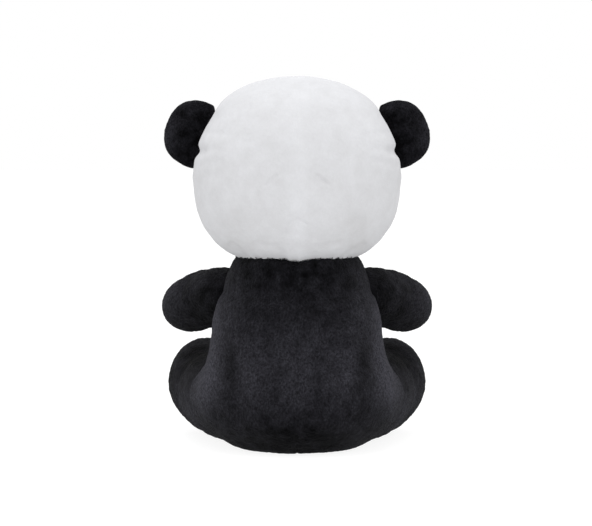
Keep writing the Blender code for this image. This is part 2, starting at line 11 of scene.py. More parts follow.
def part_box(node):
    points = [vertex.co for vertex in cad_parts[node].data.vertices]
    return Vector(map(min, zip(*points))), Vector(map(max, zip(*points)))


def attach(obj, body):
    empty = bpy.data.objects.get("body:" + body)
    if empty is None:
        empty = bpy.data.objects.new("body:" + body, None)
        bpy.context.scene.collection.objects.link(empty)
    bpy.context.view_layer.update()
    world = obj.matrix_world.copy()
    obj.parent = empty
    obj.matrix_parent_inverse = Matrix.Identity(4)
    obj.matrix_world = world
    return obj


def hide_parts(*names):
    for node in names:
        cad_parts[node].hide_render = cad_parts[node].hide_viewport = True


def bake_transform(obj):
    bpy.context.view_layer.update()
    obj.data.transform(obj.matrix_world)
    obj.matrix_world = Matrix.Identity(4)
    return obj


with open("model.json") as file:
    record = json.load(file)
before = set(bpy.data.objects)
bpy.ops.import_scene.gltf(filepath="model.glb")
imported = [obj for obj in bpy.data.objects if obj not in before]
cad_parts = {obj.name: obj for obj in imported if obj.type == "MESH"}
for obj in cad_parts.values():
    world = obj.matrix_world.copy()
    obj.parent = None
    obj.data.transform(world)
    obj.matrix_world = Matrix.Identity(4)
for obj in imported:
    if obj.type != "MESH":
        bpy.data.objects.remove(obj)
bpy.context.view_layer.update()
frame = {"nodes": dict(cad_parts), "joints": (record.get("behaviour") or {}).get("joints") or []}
joints = {joint["name"]: joint for joint in frame["joints"]}
mm = 0.001
print("frame loaded:", len(frame["nodes"]), "nodes")


# small helpers, all in metres unless a name says mm

def boxMiddle(*nodes):
    corners = [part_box(node) for node in nodes]
    low = np.min([c[0] for c in corners], axis=0)
    high = np.max([c[1] for c in corners], axis=0)
    return (low + high) / 2


def boxHigh(node):
    return np.array(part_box(node)[1])


def boxLow(node):
    return np.array(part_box(node)[0])


def makeActive(obj):
    bpy.ops.object.select_all(action="DESELECT")
    obj.select_set(True)
    bpy.context.view_layer.objects.active = obj


def applyAll(obj):
    makeActive(obj)
    for modifier in list(obj.modifiers):
        bpy.ops.object.modifier_apply(modifier=modifier.name)


def points(obj):
    flat = np.empty(len(obj.data.vertices) * 3)
    obj.data.vertices.foreach_get("co", flat)
    return flat.reshape(-1, 3)


def normals(obj):
    flat = np.empty(len(obj.data.vertices) * 3)
    obj.data.vertices.foreach_get("normal", flat)
    return flat.reshape(-1, 3)


def setPoints(obj, places):
    obj.data.vertices.foreach_set("co", np.ascontiguousarray(places).ravel())
    obj.data.update()


def smoothStep(value, low, high):
    t = np.clip((value - low) / (high - low), 0, 1)
    return t * t * (3 - 2 * t)


def bump(distance, width):
    return np.exp(-(distance / width) ** 2)


def roughField(places, size, seed):
    # soft noise from -1 to 1, one value a point, with lumps of the given size
    shift = Vector((seed * 3.1, seed * 1.7, seed * 2.3))
    return np.array([noise.noise(Vector(p) / size + shift) for p in places])


def quadBall(name, cuts):
    # a cube cut into even squares and blown up to a unit ball: no poles, and edges on its middle planes
    bpy.ops.object.select_all(action="DESELECT")
    bpy.ops.mesh.primitive_cube_add(size=2.0)
    ball = bpy.context.object
    ball.name = name
    ball.data.name = name
    bpy.ops.object.mode_set(mode="EDIT")
    bpy.ops.mesh.select_all(action="SELECT")
    bpy.ops.mesh.subdivide(number_cuts=cuts)
    bpy.ops.object.mode_set(mode="OBJECT")
    even = np.tan(points(ball) * math.pi / 4)
    setPoints(ball, even / np.linalg.norm(even, axis=1)[:, None])
    return ball


def smoothRows(rows, between=24, count=240):
    # evenly spaced rows on a smooth curve through a few given ones; the last column runs along the form
    rows = np.array(rows, float)
    padded = np.vstack([2 * rows[0] - rows[1], rows, 2 * rows[-1] - rows[-2]])
    fine = []
    for k in range(1, len(padded) - 2):
        a, b, c, d = padded[k - 1:k + 3]
        for t in np.linspace(0, 1, between, endpoint=False):
            bend = (2 * a - 5 * b + 4 * c - d) * t ** 2 + (3 * b - a - 3 * c + d) * t ** 3
            fine.append(0.5 * (2 * b + (c - a) * t + bend))
    fine.append(padded[-2])
    fine = np.array(fine)
    step = np.hypot(np.diff(fine[:, 0]), np.diff(fine[:, -1]))
    run = np.concatenate([[0], np.cumsum(step)])
    even = np.linspace(0, run[-1], count)
    return np.array([np.interp(even, run, fine[:, k]) for k in range(fine.shape[1])]).T


def turnedForm(ball, rows):
    # rows run from the top pole to the bottom pole: half width, half depth, centre y, height (in mm)
    aim = points(ball)
    polar = np.arccos(np.clip(aim[:, 2], -1, 1)) / math.pi
    table = smoothRows(rows) * mm
    share = np.linspace(0, 1, len(table))
    width, depth, centre, height = [np.interp(polar, share, table[:, k]) for k in range(4)]
    flat = np.linalg.norm(aim[:, :2], axis=1)
    around = aim[:, :2] / np.maximum(flat, 1e-9)[:, None]
    around[flat < 1e-6] = 0
    setPoints(ball, np.stack([around[:, 0] * width, centre + around[:, 1] * depth, height], axis=1))


def surfaceOf(cover):
    corners = [vertex.co for vertex in cover.data.vertices]
    return BVHTree.FromPolygons(corners, [polygon.vertices[:] for polygon in cover.data.polygons])


def fillBetween(cover, other, reach, bothSides):
    # where two stuffed pieces are sewn together, the cloth bridges the corner between them
    places = points(cover)
    asked = places.copy()
    if bothSides:
        asked[:, 0] = np.abs(asked[:, 0])  # the other cover is only made on the left
    span = reach(places) * mm
    swell = np.zeros(len(places))
    for k in np.flatnonzero(span > 0.0005):  # a shorter reach fills nothing
        hit, facing, face, gap = other.find_nearest(Vector(asked[k]), float(span[k]))
        if hit is not None:
            swell[k] = (1 - gap / span[k]) ** 2 * span[k] / 4
    return swell


foldLook = {
    "lip": 0.35, "lipWidth": 2.6,  # the cloth swells a little along both sides of a fold
    "backFrom": -0.012, "backTo": 0.004,  # folds show only behind this, in metres
}


def creaseField(places, strokes):
    # short folds on the back, the same left and right: x and height of both ends, half width, depth (in mm)
    total = np.zeros(len(places))
    back = smoothStep(places[:, 1], foldLook["backFrom"], foldLook["backTo"])
    across, height = np.abs(places[:, 0]) / mm, places[:, 2] / mm
    for x0, z0, x1, z1, width, depth in strokes:
        run = np.array([x1 - x0, z1 - z0], float)
        share = np.clip(((across - x0) * run[0] + (height - z0) * run[1]) / (run @ run), 0, 1)
        gap = np.hypot(across - x0 - share * run[0], height - z0 - share * run[1])
        lip = foldLook["lip"] * bump(gap, foldLook["lipWidth"] * width)
        total += back * depth * (bump(gap, width) - lip)
    return total * mm


napAndLightLook = {
    "lump": 0.011, "speck": 0.0045, "speckShare": 0.7, "most": 1.4,
    "backFrom": -0.075, "backTo": -0.045,  # the painted light and shade spots show only behind this, in metres
}


def paintNap(cover, look, seed):
    # how light the pile shows at each point, partly from the nap's lie and partly painted light and shade; a
    # spot is x, height, half sizes (all in mm), how much lighter
    places = points(cover)
    across, height = np.abs(places[:, 0]) / mm, places[:, 2] / mm
    back = smoothStep(places[:, 1], napAndLightLook["backFrom"], napAndLightLook["backTo"])
    napAndLightLevel = np.full(len(places), look["napAndPaintedLight"])
    for x0, z0, wide, high, amount in look["napAndPaintedLightSpots"]:
        napAndLightLevel += amount * back * np.exp(-((across - x0) / wide) ** 2 - ((height - z0) / high) ** 2)
    napAndLightLevel += look["napRough"] * roughField(places, napAndLightLook["lump"], seed)
    napAndLightLevel += look["napRough"] * napAndLightLook["speckShare"] * roughField(places, napAndLightLook["speck"], seed)
    layer = cover.data.attributes.new("napAndPaintedLight", "FLOAT", "POINT")
    layer.data.foreach_set("value", np.clip(napAndLightLevel, 0, napAndLightLook["most"]).astype(np.float32))


seamLip = {"height": 0.35, "away": 2.2, "width": 1.3}  # shares of the seam's own depth and width


def closeSeam(distance, along, look, seed):
    # how far a point sinks (in metres) near a seam: the groove itself, and small gathers that run into it
    width = look["width"] * mm
    groove = look["depth"] * bump(distance, width)
    beside = np.abs(distance) - seamLip["away"] * width
    lip = seamLip["height"] * look["depth"] * bump(beside, seamLip["width"] * width)
    wave = np.sin(2 * math.pi * along / (look["pitch"] * mm) + seed)
    gather = look["gather"] * wave * np.exp(-np.abs(distance) / (look["reach"] * mm))
    return (groove - lip + gather) * mm


def splitPanel(source, name, planes):
    # a copy of a cover, cut by planes (point, direction to keep)
    mesh = source.data.copy()
    panel = bpy.data.objects.new(name, mesh)
    mesh.name = name
    bpy.context.scene.collection.objects.link(panel)
    bm = bmesh.new()
    bm.from_mesh(mesh)
    for place, keep in planes:
        bmesh.ops.bisect_plane(
            bm, geom=bm.verts[:] + bm.edges[:] + bm.faces[:], dist=1e-7, plane_co=place, plane_no=keep,
            clear_inner=True,
        )
    bm.to_mesh(mesh)
    bm.free()
    return panel


def turnEdgesIn(panel, depth):
    # a panel's raw edges fold in as a seam allowance
    bm = bmesh.new()
    bm.from_mesh(panel.data)
    bm.normal_update()
    inward = {v.index: v.normal * -depth for v in bm.verts if v.is_boundary}
    rim = [edge for edge in bm.edges if edge.is_boundary]
    for edge in rim:
        edge.smooth = False
    made = bmesh.ops.extrude_edge_only(bm, edges=rim)["geom"]
    for vertex in (item for item in made if isinstance(item, bmesh.types.BMVert)):
        edge = next(e for e in vertex.link_edges if e.other_vert(vertex).index in inward)
        vertex.co += inward[edge.other_vert(vertex).index]
    bm.to_mesh(panel.data)
    bm.free()
    panel.data.shade_smooth()


def mirrored(source, name):
    mesh = source.data.copy()
    mesh.name = name
    copy = bpy.data.objects.new(name, mesh)
    bpy.context.scene.collection.objects.link(copy)
    mesh.transform(Matrix.Diagonal((-1.0, 1.0, 1.0, 1.0)))
    mesh.flip_normals()
    return copy


# materials

def socket(group, name, kind, way, value=None):
    made = group.interface.new_socket(name, in_out=way, socket_type=kind)
    if value is not None:
        made.default_value = value
    return made


def noiseNode(nodes, links, vector, scale, detail=2.0, rough=0.5):
    node = nodes.new("ShaderNodeTexNoise")
    node.inputs["Scale"].default_value = scale
    node.inputs["Detail"].default_value = detail
    node.inputs["Roughness"].default_value = rough
    links.new(vector, node.inputs["Vector"])
    return node.outputs["Fac"]


def rangeNode(nodes, links, value, given, wanted=(0.0, 1.0)):
    node = nodes.new("ShaderNodeMapRange")
    links.new(value, node.inputs["Value"])
    for key, number in zip(("From Min", "From Max", "To Min", "To Max"), (*given, *wanted)):
        node.inputs[key].default_value = number
    return node.outputs["Result"]


def mathNode(nodes, links, operation, a, b):
    node = nodes.new("ShaderNodeMath")
    node.operation = operation
    for slot, value in zip(node.inputs, (a, b)):
        if isinstance(value, (int, float)):
            slot.default_value = value
        else:
            links.new(value, slot)
    return node.outputs["Value"]


def mixNode(nodes, links, factor, a, b):
    node = nodes.new("ShaderNodeMix")
    node.data_type = "RGBA"
    links.new(factor, node.inputs[0])
    for key, value in ((6, a), (7, b)):
        if isinstance(value, tuple):
            node.inputs[key].default_value = (*value, 1.0)
        else:
            links.new(value, node.inputs[key])
    return node.outputs[2]


pileGrain = {
    "stretch": 0.75,  # the pile lies downwards, so tufts are longer than they are wide
    "tuftScale": 800.0, "tuftSpan": (0.36, 0.66), "tuftShare": 0.62,
    "fibreScale": 1900.0, "fibreSpan": (0.32, 0.70), "fibreShare": 0.38,
    "patchScale": 130.0, "patchSpan": (0.30, 0.70),
    "roughness": (1.0, 0.86), "relief": 0.0009,
}


def makePileGroup():
    # short cut pile: tufts, the fibres in them, painted shade at the tufts' roots, and light and dark areas,
    # partly where the nap lies either way and partly painted light and shade
    group = bpy.data.node_groups.new("shortPile", "ShaderNodeTree")
    socket(group, "Dark Color", "NodeSocketColor", "INPUT", (0.01, 0.01, 0.01, 1))
    socket(group, "Light Color", "NodeSocketColor", "INPUT", (0.04, 0.04, 0.04, 1))
    socket(group, "Nap And Painted Light", "NodeSocketFloat", "INPUT", 0.5)
    socket(group, "Mottle", "NodeSocketFloat", "INPUT", 0.3)
    socket(group, "Root Shade", "NodeSocketFloat", "INPUT", 0.5)
    socket(group, "Bump", "NodeSocketFloat", "INPUT", 0.5)
    socket(group, "Color", "NodeSocketColor", "OUTPUT")
    socket(group, "Roughness", "NodeSocketFloat", "OUTPUT")
    socket(group, "Normal", "NodeSocketVector", "OUTPUT")
    nodes, links = group.nodes, group.links
    given = nodes.new("NodeGroupInput").outputs
    result = nodes.new("NodeGroupOutput").inputs
    where = nodes.new("ShaderNodeTexCoord")
    lie = nodes.new("ShaderNodeMapping")
    lie.inputs["Scale"].default_value = (1.0, 1.0, pileGrain["stretch"])
    links.new(where.outputs["Object"], lie.inputs["Vector"])
    tufts = noiseNode(nodes, links, lie.outputs["Vector"], pileGrain["tuftScale"], 3.0, 0.6)
    fibres = noiseNode(nodes, links, lie.outputs["Vector"], pileGrain["fibreScale"], 2.0, 0.6)
    patches = noiseNode(nodes, links, where.outputs["Object"], pileGrain["patchScale"], 4.0, 0.6)
    tuftMask = rangeNode(nodes, links, tufts, pileGrain["tuftSpan"])
    fibreMask = rangeNode(nodes, links, fibres, pileGrain["fibreSpan"])
    tuftHeight = mathNode(nodes, links, "MULTIPLY", tuftMask, pileGrain["tuftShare"])
    fibreHeight = mathNode(nodes, links, "MULTIPLY", fibreMask, pileGrain["fibreShare"])
    height = mathNode(nodes, links, "ADD", tuftHeight, fibreHeight)
    patchMask = rangeNode(nodes, links, patches, pileGrain["patchSpan"], (-0.5, 0.5))
    stray = mathNode(nodes, links, "MULTIPLY", patchMask, given["Mottle"])
    napAndLightLevel = rangeNode(nodes, links, mathNode(nodes, links, "ADD", given["Nap And Painted Light"], stray), (0.0, napAndLightLook["most"]))
    cloth = mixNode(nodes, links, napAndLightLevel, given["Dark Color"], given["Light Color"])
    # the tufts' roots are painted darker: painted shade between the tufts
    deep = mathNode(nodes, links, "SUBTRACT", 1.0, given["Root Shade"])
    shade = nodes.new("ShaderNodeMapRange")
    links.new(height, shade.inputs["Value"])
    links.new(deep, shade.inputs["To Min"])
    tone = nodes.new("ShaderNodeCombineColor")
    for channel in ("Red", "Green", "Blue"):
        links.new(shade.outputs["Result"], tone.inputs[channel])
    color = nodes.new("ShaderNodeMix")
    color.data_type = "RGBA"
    color.blend_type = "MULTIPLY"
    color.inputs[0].default_value = 1.0
    links.new(cloth, color.inputs[6])
    links.new(tone.outputs["Color"], color.inputs[7])
    links.new(color.outputs[2], result["Color"])
    links.new(rangeNode(nodes, links, height, (0.0, 1.0), pileGrain["roughness"]), result["Roughness"])
    relief = nodes.new("ShaderNodeBump")
    relief.inputs["Distance"].default_value = pileGrain["relief"]
    links.new(given["Bump"], relief.inputs["Strength"])
    links.new(height, relief.inputs["Height"])
    links.new(relief.outputs["Normal"], result["Normal"])
    return group


def newMaterial(name, **fixed):
    material = bpy.data.materials.new(name)
    material.use_nodes = True
    shader = material.node_tree.nodes["Principled BSDF"]
    for key, value in fixed.items():
        shader.inputs[key].default_value = value
    return material, material.node_tree.nodes, material.node_tree.links, shader


def makePlush(name, look, group):
    material, nodes, links, shader = newMaterial(name, **{
        "Sheen Weight": look["sheen"], "Sheen Roughness": look["sheenRoughness"],
        "Sheen Tint": (*look["sheenTint"], 1.0), "Specular IOR Level": look["specular"],
    })
    pile = nodes.new("ShaderNodeGroup")
    pile.node_tree = group
    pile.inputs["Dark Color"].default_value = (*look["dark"], 1.0)
    pile.inputs["Light Color"].default_value = (*look["light"], 1.0)
    pile.inputs["Mottle"].default_value = look["mottle"]
    pile.inputs["Root Shade"].default_value = look["rootShade"]
    pile.inputs["Bump"].default_value = look["bump"]
    # the pile's light and dark areas: partly the nap's lie, partly painted light and shade
    napAndPaintedLight = nodes.new("ShaderNodeAttribute")
    napAndPaintedLight.attribute_name = "napAndPaintedLight"
    links.new(napAndPaintedLight.outputs["Fac"], pile.inputs["Nap And Painted Light"])
    links.new(pile.outputs["Color"], shader.inputs["Base Color"])
    links.new(pile.outputs["Roughness"], shader.inputs["Roughness"])
    links.new(pile.outputs["Normal"], shader.inputs["Normal"])
    return material


plushLooks = {
    "whitePlush": {
        "dark": (0.530, 0.530, 0.540), "light": (0.722, 0.729, 0.758),
        "mottle": 0.25, "rootShade": 0.05, "bump": 0.10, "specular": 0.10,
        "sheen": 0.04, "sheenRoughness": 0.6, "sheenTint": (1.0, 1.0, 1.0),
    },
    "blackPlush": {
        "dark": (0.0022, 0.0021, 0.0028), "light": (0.0820, 0.0805, 0.0985),
        "mottle": 0.36, "rootShade": 0.84, "bump": 1.0, "specular": 0.035,
        "sheen": 0.032, "sheenRoughness": 0.40, "sheenTint": (0.93, 0.95, 1.0),
    },
}


# plastic, thread and cloth that are nearly one colour:
# two shades, roughness, scale and strength of the grain, specular
plainLooks = {
    "eyePlastic": ((0.0020, 0.0014, 0.0012), (0.004, 0.0028, 0.0024), 0.07, 300.0, 0.02, 0.09),
    "nosePlastic": ((0.006, 0.0055, 0.006), (0.011, 0.010, 0.011), 0.30, 900.0, 0.12, 0.20),
    "washerPlastic": ((0.62, 0.62, 0.60), (0.70, 0.70, 0.68), 0.45, 400.0, 0.10, 0.50),
    "bagCloth": ((0.60, 0.57, 0.50), (0.68, 0.65, 0.58), 0.85, 1200.0, 0.60, 0.50),
    "blackThread": ((0.010, 0.010, 0.011), (0.028, 0.028, 0.030), 0.70, 2500.0, 0.60, 0.50),
}
plainGrain = {"span": (0.3, 0.7), "uneven": 0.15, "relief": 0.0003}


def makePlain(name, look):
    color, other, roughness, scale, strength, specular = look
    material, nodes, links, shader = newMaterial(name, **{"Specular IOR Level": specular})
    where = nodes.new("ShaderNodeTexCoord").outputs["Object"]
    grain = noiseNode(nodes, links, where, scale, 3.0, 0.55)
    links.new(mixNode(nodes, links, grain, color, other), shader.inputs["Base Color"])
    worn = (roughness * (1 - plainGrain["uneven"]), roughness * (1 + plainGrain["uneven"]))
    links.new(rangeNode(nodes, links, grain, plainGrain["span"], worn), shader.inputs["Roughness"])
    relief = nodes.new("ShaderNodeBump")
    relief.inputs["Strength"].default_value = strength
    relief.inputs["Distance"].default_value = plainGrain["relief"]
    links.new(grain, relief.inputs["Height"])
    links.new(relief.outputs["Normal"], shader.inputs["Normal"])
    return material


pileGroup = makePileGroup()
plush = {name: makePlush(name, look, pileGroup) for name, look in plushLooks.items()}
plain = {name: makePlain(name, look) for name, look in plainLooks.items()}
print("materials made")


# the covers: their forms, before anything is puffed up

neckLevel = joints["head_nod"]["pos_m"][2]

headLook = {
    "centreZ": 0.180, "below": 59.7, "roundness": 2.31, "crown": 2.31, "seamY": -0.008,
    "shrink": 0.6,  # mm smaller before it is puffed up
    "inside": (70.0, 64.0, 64.8),  # half sizes of the finished head, in mm, for what is sewn on the face
    "cuts": 31, "pressure": 3.0, "seamPull": 0.05, "cap": 1.4,
    "seamFade": (0.004, 0.030), "heldFade": (0.002, 0.018),  # metres from the neck
    "backSeam": {"depth": 0.12, "width": 1.4, "pitch": 9.0, "gather": 0.04, "reach": 4.0},
    "sideSeam": {"depth": 0.75, "width": 1.1, "pitch": 9.0, "gather": 0.10, "reach": 5.0},
    "neckGather": {"count": 30, "depth": 0.45, "reach": 8.0},
    "pile": 0.45, "lumpDepth": 0.45, "lumpSize": 0.018,
    "napAndPaintedLight": 0.48, "napRough": 0.10,
    # painted light and shade, partly the nap's lie: the top lighter as if lit from above, a lighter strip
    # down the middle, the lower sides darker as if in shade
    "napAndPaintedLightSpots": [
        (0, 250, 60, 22, 0.25), (0, 158, 6.5, 30, 0.32), (0, 215, 7, 24, 0.10), (40, 155, 10, 8, -0.25),
        (40, 138, 10, 10, -0.35), (46, 208, 16, 14, 0.15), (66, 170, 12, 30, -0.1), (18, 181, 8, 6, -0.1),
    ],
    "folds": [
        (13.0, 183.5, 20.0, 178.0, 1.1, 0.70),
        (0.0, 155.5, 5.5, 152.5, 0.9, 0.50),
        (62.0, 199.5, 72.0, 199.0, 3.4, 2.3),
        (50.0, 200.5, 62.0, 199.5, 2.6, 0.6),
        (60.0, 222.0, 68.0, 206.0, 9.0, 2.0),
        (69.0, 200.0, 71.5, 187.5, 3.4, 1.8),
        (72.0, 190.0, 72.0, 168.0, 8.0, 0.4),
        (34.0, 131.5, 43.0, 138.0, 2.4, 1.1),
        (14.0, 137.0, 27.0, 139.0, 2.2, 0.5),
        (50.0, 193.0, 64.0, 190.0, 2.4, 0.5),
        (46.0, 210.0, 60.0, 211.5, 2.4, 0.5),
    ],
}

torsoLook = {
    "cuts": 31, "pressure": 3.0, "seamPull": 0.05, "cap": 1.6, "seamY": -0.020, "seatSeamZ": 0.0075,
    "seamFade": (0.004, 0.020), "heldFade": (0.002, 0.018), "heldBelow": 0.003,  # metres from neck and table
    # half width, half depth, centre y, height in mm, from above the neck down to the middle of the seat
    "rows": [
        (0, 0, 0, 141), (24, 22, 0, 139.5), (36.5, 33, 0, 134.5), (41.0, 37.4, 0, 128.6),
        (44.6, 40, -0.5, 120.8), (47.1, 42, -1, 114), (50.0, 44, -2, 105), (53.8, 47.5, -3, 97),
        (56.3, 51, -4, 88), (57.9, 54, -5, 80), (59.0, 56.5, -4.5, 70), (61.0, 58.5, -3.5, 60),
        (64.4, 60, -2.5, 50), (67.8, 60.5, -1.5, 40), (68.4, 59.5, -1, 30), (63.6, 56.5, 0, 18),
        (54.2, 49.6, 0, 8.5), (44.2, 42.0, 0, 2.4), (35.2, 33.5, 0, 0), (20, 17.5, 0, 0), (0, 0, 0, 0),
    ],
    "seam": {"depth": 0.55, "width": 1.0, "pitch": 11.0, "gather": 0.12, "reach": 5.0},
    "seatSeam": 0.3,  # its share of the other seams' depth
    "seatSeamRound": 60.0,  # mm a radian along the seat's seam
    "pile": 1.0, "lumpDepth": 0.45, "lumpSize": 0.020,
    "napAndPaintedLight": 0.17, "napRough": 0.08,
    # painted light and shade, partly the nap's lie: painted highlights along the flanks and hips, the middle
    # of the back lighter, a painted shadow under the head and painted shade at the bottom, darker bands
    # beside the folds
    "napAndPaintedLightSpots": [
        (0, 59, 62, 36, 0.51), (31, 54, 7, 16, 0.28), (43, 98, 7, 25, 0.36), (57, 88, 7, 30, 1.1),
        (44, 63, 5.5, 13, -0.30), (0, 42, 5, 14, 0.14), (61, 50, 9, 16, 0.90),
        (67, 34, 10, 16, 0.50), (0, 10, 36, 15, -0.32), (36, 16, 14, 10, 0.06), (0, 120, 40, 10, -0.05),
        (13.5, 49, 3, 14, -0.20),
    ],
    "folds": [
        (38.6, 124.0, 42.6, 101.0, 0.9, 0.55), (42.6, 101.0, 41.0, 76.0, 0.9, 0.45),
        (12.5, 61.0, 13.0, 36.0, 2.0, 0.45), (0.0, 43.0, 12.0, 34.0, 2.4, 0.35),
        (52.0, 86.0, 60.0, 74.0, 2.2, 0.7), (50.0, 60.0, 64.0, 50.0, 2.6, 0.7),
    ],
}

neckLook = {
    "headPull": 1.6, "torsoPull": 0.7, "width": 2.2, "dip": 1.9, "dipWidth": 7.0,
    "scallop": 0.45, "scallopPitch": 6.4, "radius": 40.0, "lower": 0.2, "reach": 7.0,
    "headBend": 0.020, "torsoBend": 0.020, "torsoStop": 0.0005,  # metres from the neck where the covers bend
}


def neckWave(places):
    # how far the neck seam strays from its level: small stitch scallops and a dip at the centre back
    run = np.arctan2(places[:, 1], places[:, 0]) * neckLook["radius"]
    scallop = neckLook["scallop"] * np.abs(np.sin(math.pi * run / neckLook["scallopPitch"]))
    dip = neckLook["dip"] * bump(places[:, 0] / mm, neckLook["dipWidth"]) * (places[:, 1] > 0)
    near = bump(places[:, 2] - neckLevel, neckLook["reach"] * mm)
    return (scallop - dip - neckLook["lower"]) * mm * near


def drawNeckIn(places, depth):
    # both covers dive to the neck seam
    pull = depth * mm * bump(places[:, 2] - neckLevel, neckLook["width"] * mm)
    flat = np.linalg.norm(places[:, :2], axis=1)
    places[:, :2] *= (1 - pull / np.maximum(flat, 0.01))[:, None]


def neckGathers(places, look):
    angle = np.arctan2(places[:, 1], places[:, 0])
    uneven = 0.5 * np.sin(3 * angle + 1.0) + 0.35 * np.sin(7 * angle)
    wave = np.sin(look["count"] * angle + 2.0 * uneven) * (0.65 + 0.35 * np.sin(5 * angle + 2))
    return look["depth"] * mm * wave * np.exp(-np.abs(places[:, 2] - neckLevel) / (look["reach"] * mm))


def headForm():
    cover = quadBall("headCover", headLook["cuts"])
    aim = points(cover)
    shells = ("head_back_left", "head_back_right", "face_left", "face_right")
    low = np.min([boxLow(node) for node in shells], axis=0)
    high = np.max([boxHigh(node) for node in shells], axis=0)
    half = (high - low) / 2 - headLook["shrink"] * mm
    above = high[2] - headLook["centreZ"] - headLook["shrink"] * mm
    power = np.where(aim[:, 2] > 0, headLook["crown"], headLook["roundness"])
    up = np.where(aim[:, 2] > 0, above, headLook["below"] * mm)
    shares = [np.abs(aim[:, 0] / half[0]), np.abs(aim[:, 1] / half[1]), np.abs(aim[:, 2] / up)]
    reach = sum(share ** power for share in shares) ** (-1 / power)
    setPoints(cover, aim * reach[:, None] + np.array([0, 0, headLook["centreZ"]]))
    return cover


def torsoForm():
    cover = quadBall("torsoCover", torsoLook["cuts"])
    turnedForm(cover, torsoLook["rows"])
    return cover


armLook = {
    "cuts": 19, "pressure": 3.0, "seamPull": 0.04, "cap": 1.4, "roll": 0.0,
    "seamFade": (0.005, 0.020), "heldFade": (-0.004, 0.020),  # metres along the arm
    # half width, half height, height of the middle above the axis, distance along the arm in mm, hand first
    "rows": [
        (0, 0, -3.6, 61.6), (11.2, 10.4, -3.6, 59.2), (17.8, 16.4, -3.5, 52.5), (21.2, 20.4, -2.3, 41),
        (21.3, 20.6, 1.1, 28), (20.4, 18.9, 4.4, 14), (18.6, 17.6, 5.7, 2), (13, 13, 6, -9), (0, 0, 6, -14),
    ],
    "bend": 0.022,  # how far along the arm the cloth bends at the shoulder, in metres
    "seam": {"depth": 0.5, "width": 1.0, "pitch": 9.0, "gather": 0.12, "reach": 4.0},
    "pile": 1.0, "lumpDepth": 0.4, "lumpSize": 0.016,
    "napAndPaintedLight": 0.17, "napRough": 0.09,
    # painted light and shade, partly the nap's lie: a painted highlight round the arm's end and top, painted
    # shade near its root and underneath
    "napAndPaintedLightSpots": [
        (92, 100, 11, 20, 0.50), (70, 112, 18, 8, 0.16), (56, 94, 9, 20, -0.1), (72, 84, 12, 7, -0.05),
    ],
}

legLook = {
    "cuts": 23, "pressure": 3.0, "seamPull": 0.05, "cap": 1.6, "roll": 0.032,
    "seamFade": (0.005, 0.020), "heldFade": (-0.004, 0.022), "heldBelow": 0.002, "seamEnd": 0.070,
    # half width, half height, height of the middle above the axis, distance along the leg in mm, sole first
    "rows": [
        (0, 0, 0, 82.0), (12, 13, 0, 81.4), (22, 24, 0.4, 78.6), (28.8, 30.8, 0.4, 70),
        (31.4, 33.0, 0.3, 58), (31.2, 32.4, -0.3, 44), (29.8, 29.6, -2.6, 26), (28.6, 28.5, -1.6, 8),
        (25, 26, 0, -8), (16, 17, 0, -20), (0, 0, 0, -26),
    ],
    "soleAt": 72.0,  # where the sole's seam runs round the leg, in mm from its pivot
    "bend": 0.030,  # how far along the leg the cloth bends at the hip, in metres
    "napAndPaintedLight": 0.22, "napRough": 0.12,
    # painted light and shade, partly the nap's lie: the leg's top painted darker, painted highlights on its
    # outer side and hip
    "napAndPaintedLightSpots": [
        (71, 58, 12, 10, -0.42), (88, 40, 9, 18, 0.22), (64, 34, 10, 20, 0.48), (74, 24, 16, 12, 0.34),
        (80, 40, 6, 12, -0.06),
    ],
    "seam": {"depth": 0.5, "width": 1.0, "pitch": 10.0, "gather": 0.15, "reach": 5.0},
    "soleSeamRound": 30.0,  # mm a radian along the sole's seam
    "pile": 1.0, "lumpDepth": 0.4, "lumpSize": 0.018,
}


def limbAxes(joint, sole):
    # the limb's frame: its pivot, the way it points, across it, and up
    pivot = np.array(joint["pos_m"])
    if sole is not None:
        along = boxMiddle(sole) - pivot
    else:
        along = np.cross([0, 0, 1], joint["axis"])
    along[2] = 0
    along /= np.linalg.norm(along)
    return pivot, along, np.cross([0, 0, 1], along), np.array([0, 0, 1.0])


def limbForm(name, look, axes):
    cover = quadBall(name, look["cuts"])
    turnedForm(cover, look["rows"])
    local = points(cover)
    pivot, along, across, up = axes
    local[:, 1] += look["roll"] * local[:, 0]  # the limb's outer side can sit higher than its inner one
    setPoints(cover, pivot + local[:, 2:3] * along + local[:, 0:1] * across + local[:, 1:2] * up)
    # the form's pole axis became the limb's axis, which turned it inside out if the frame is left-handed
    makeActive(cover)
    bpy.ops.object.mode_set(mode="EDIT")
    bpy.ops.mesh.select_all(action="SELECT")
    bpy.ops.mesh.normals_make_consistent(inside=False)
    bpy.ops.object.mode_set(mode="OBJECT")
    return cover


def limbLocal(places, axes):
    pivot, along, across, up = axes
    away = places - pivot
    return away @ along, away @ across, away @ up


earLook = {
    # sizes in mm: how far it reaches out and down, how far up, and how deep its root sits in the head
    "cuts": 19, "radius": 23.9, "above": 22.4, "roundness": 2.34, "insideLow": 17.0, "insideHigh": 5.0,
    "half": 6.2, "baseHalf": 3.6, "cup": 3.0, "cupMiddle": 0.4, "flatness": 0.85,
    "pile": 0.5, "lumpDepth": 0.35, "lumpSize": 0.010,
    "bend": 0.009,  # how far out from its root the ear bends, in metres
    "split": 0.0006,  # how far in front of its root the two layers meet, in metres
    "seam": {"depth": 0.7, "width": 1.1, "pitch": 6.5, "gather": 0.05, "reach": 3.0},
    "seamFrom": 0.7, "seamTo": 0.9,  # the seam only shows round the rim, as shares of the radius
    "seamRound": 24.0,  # mm a radian along the seam
    # painted light, partly the nap's lie: a painted highlight round the ear's outer rim and top
    "napAndPaintedLight": 0.09, "napRough": 0.08, "napAndPaintedLightSpots": [(87, 212, 6, 24, 0.34), (70, 231, 14, 6, 0.20)],
}


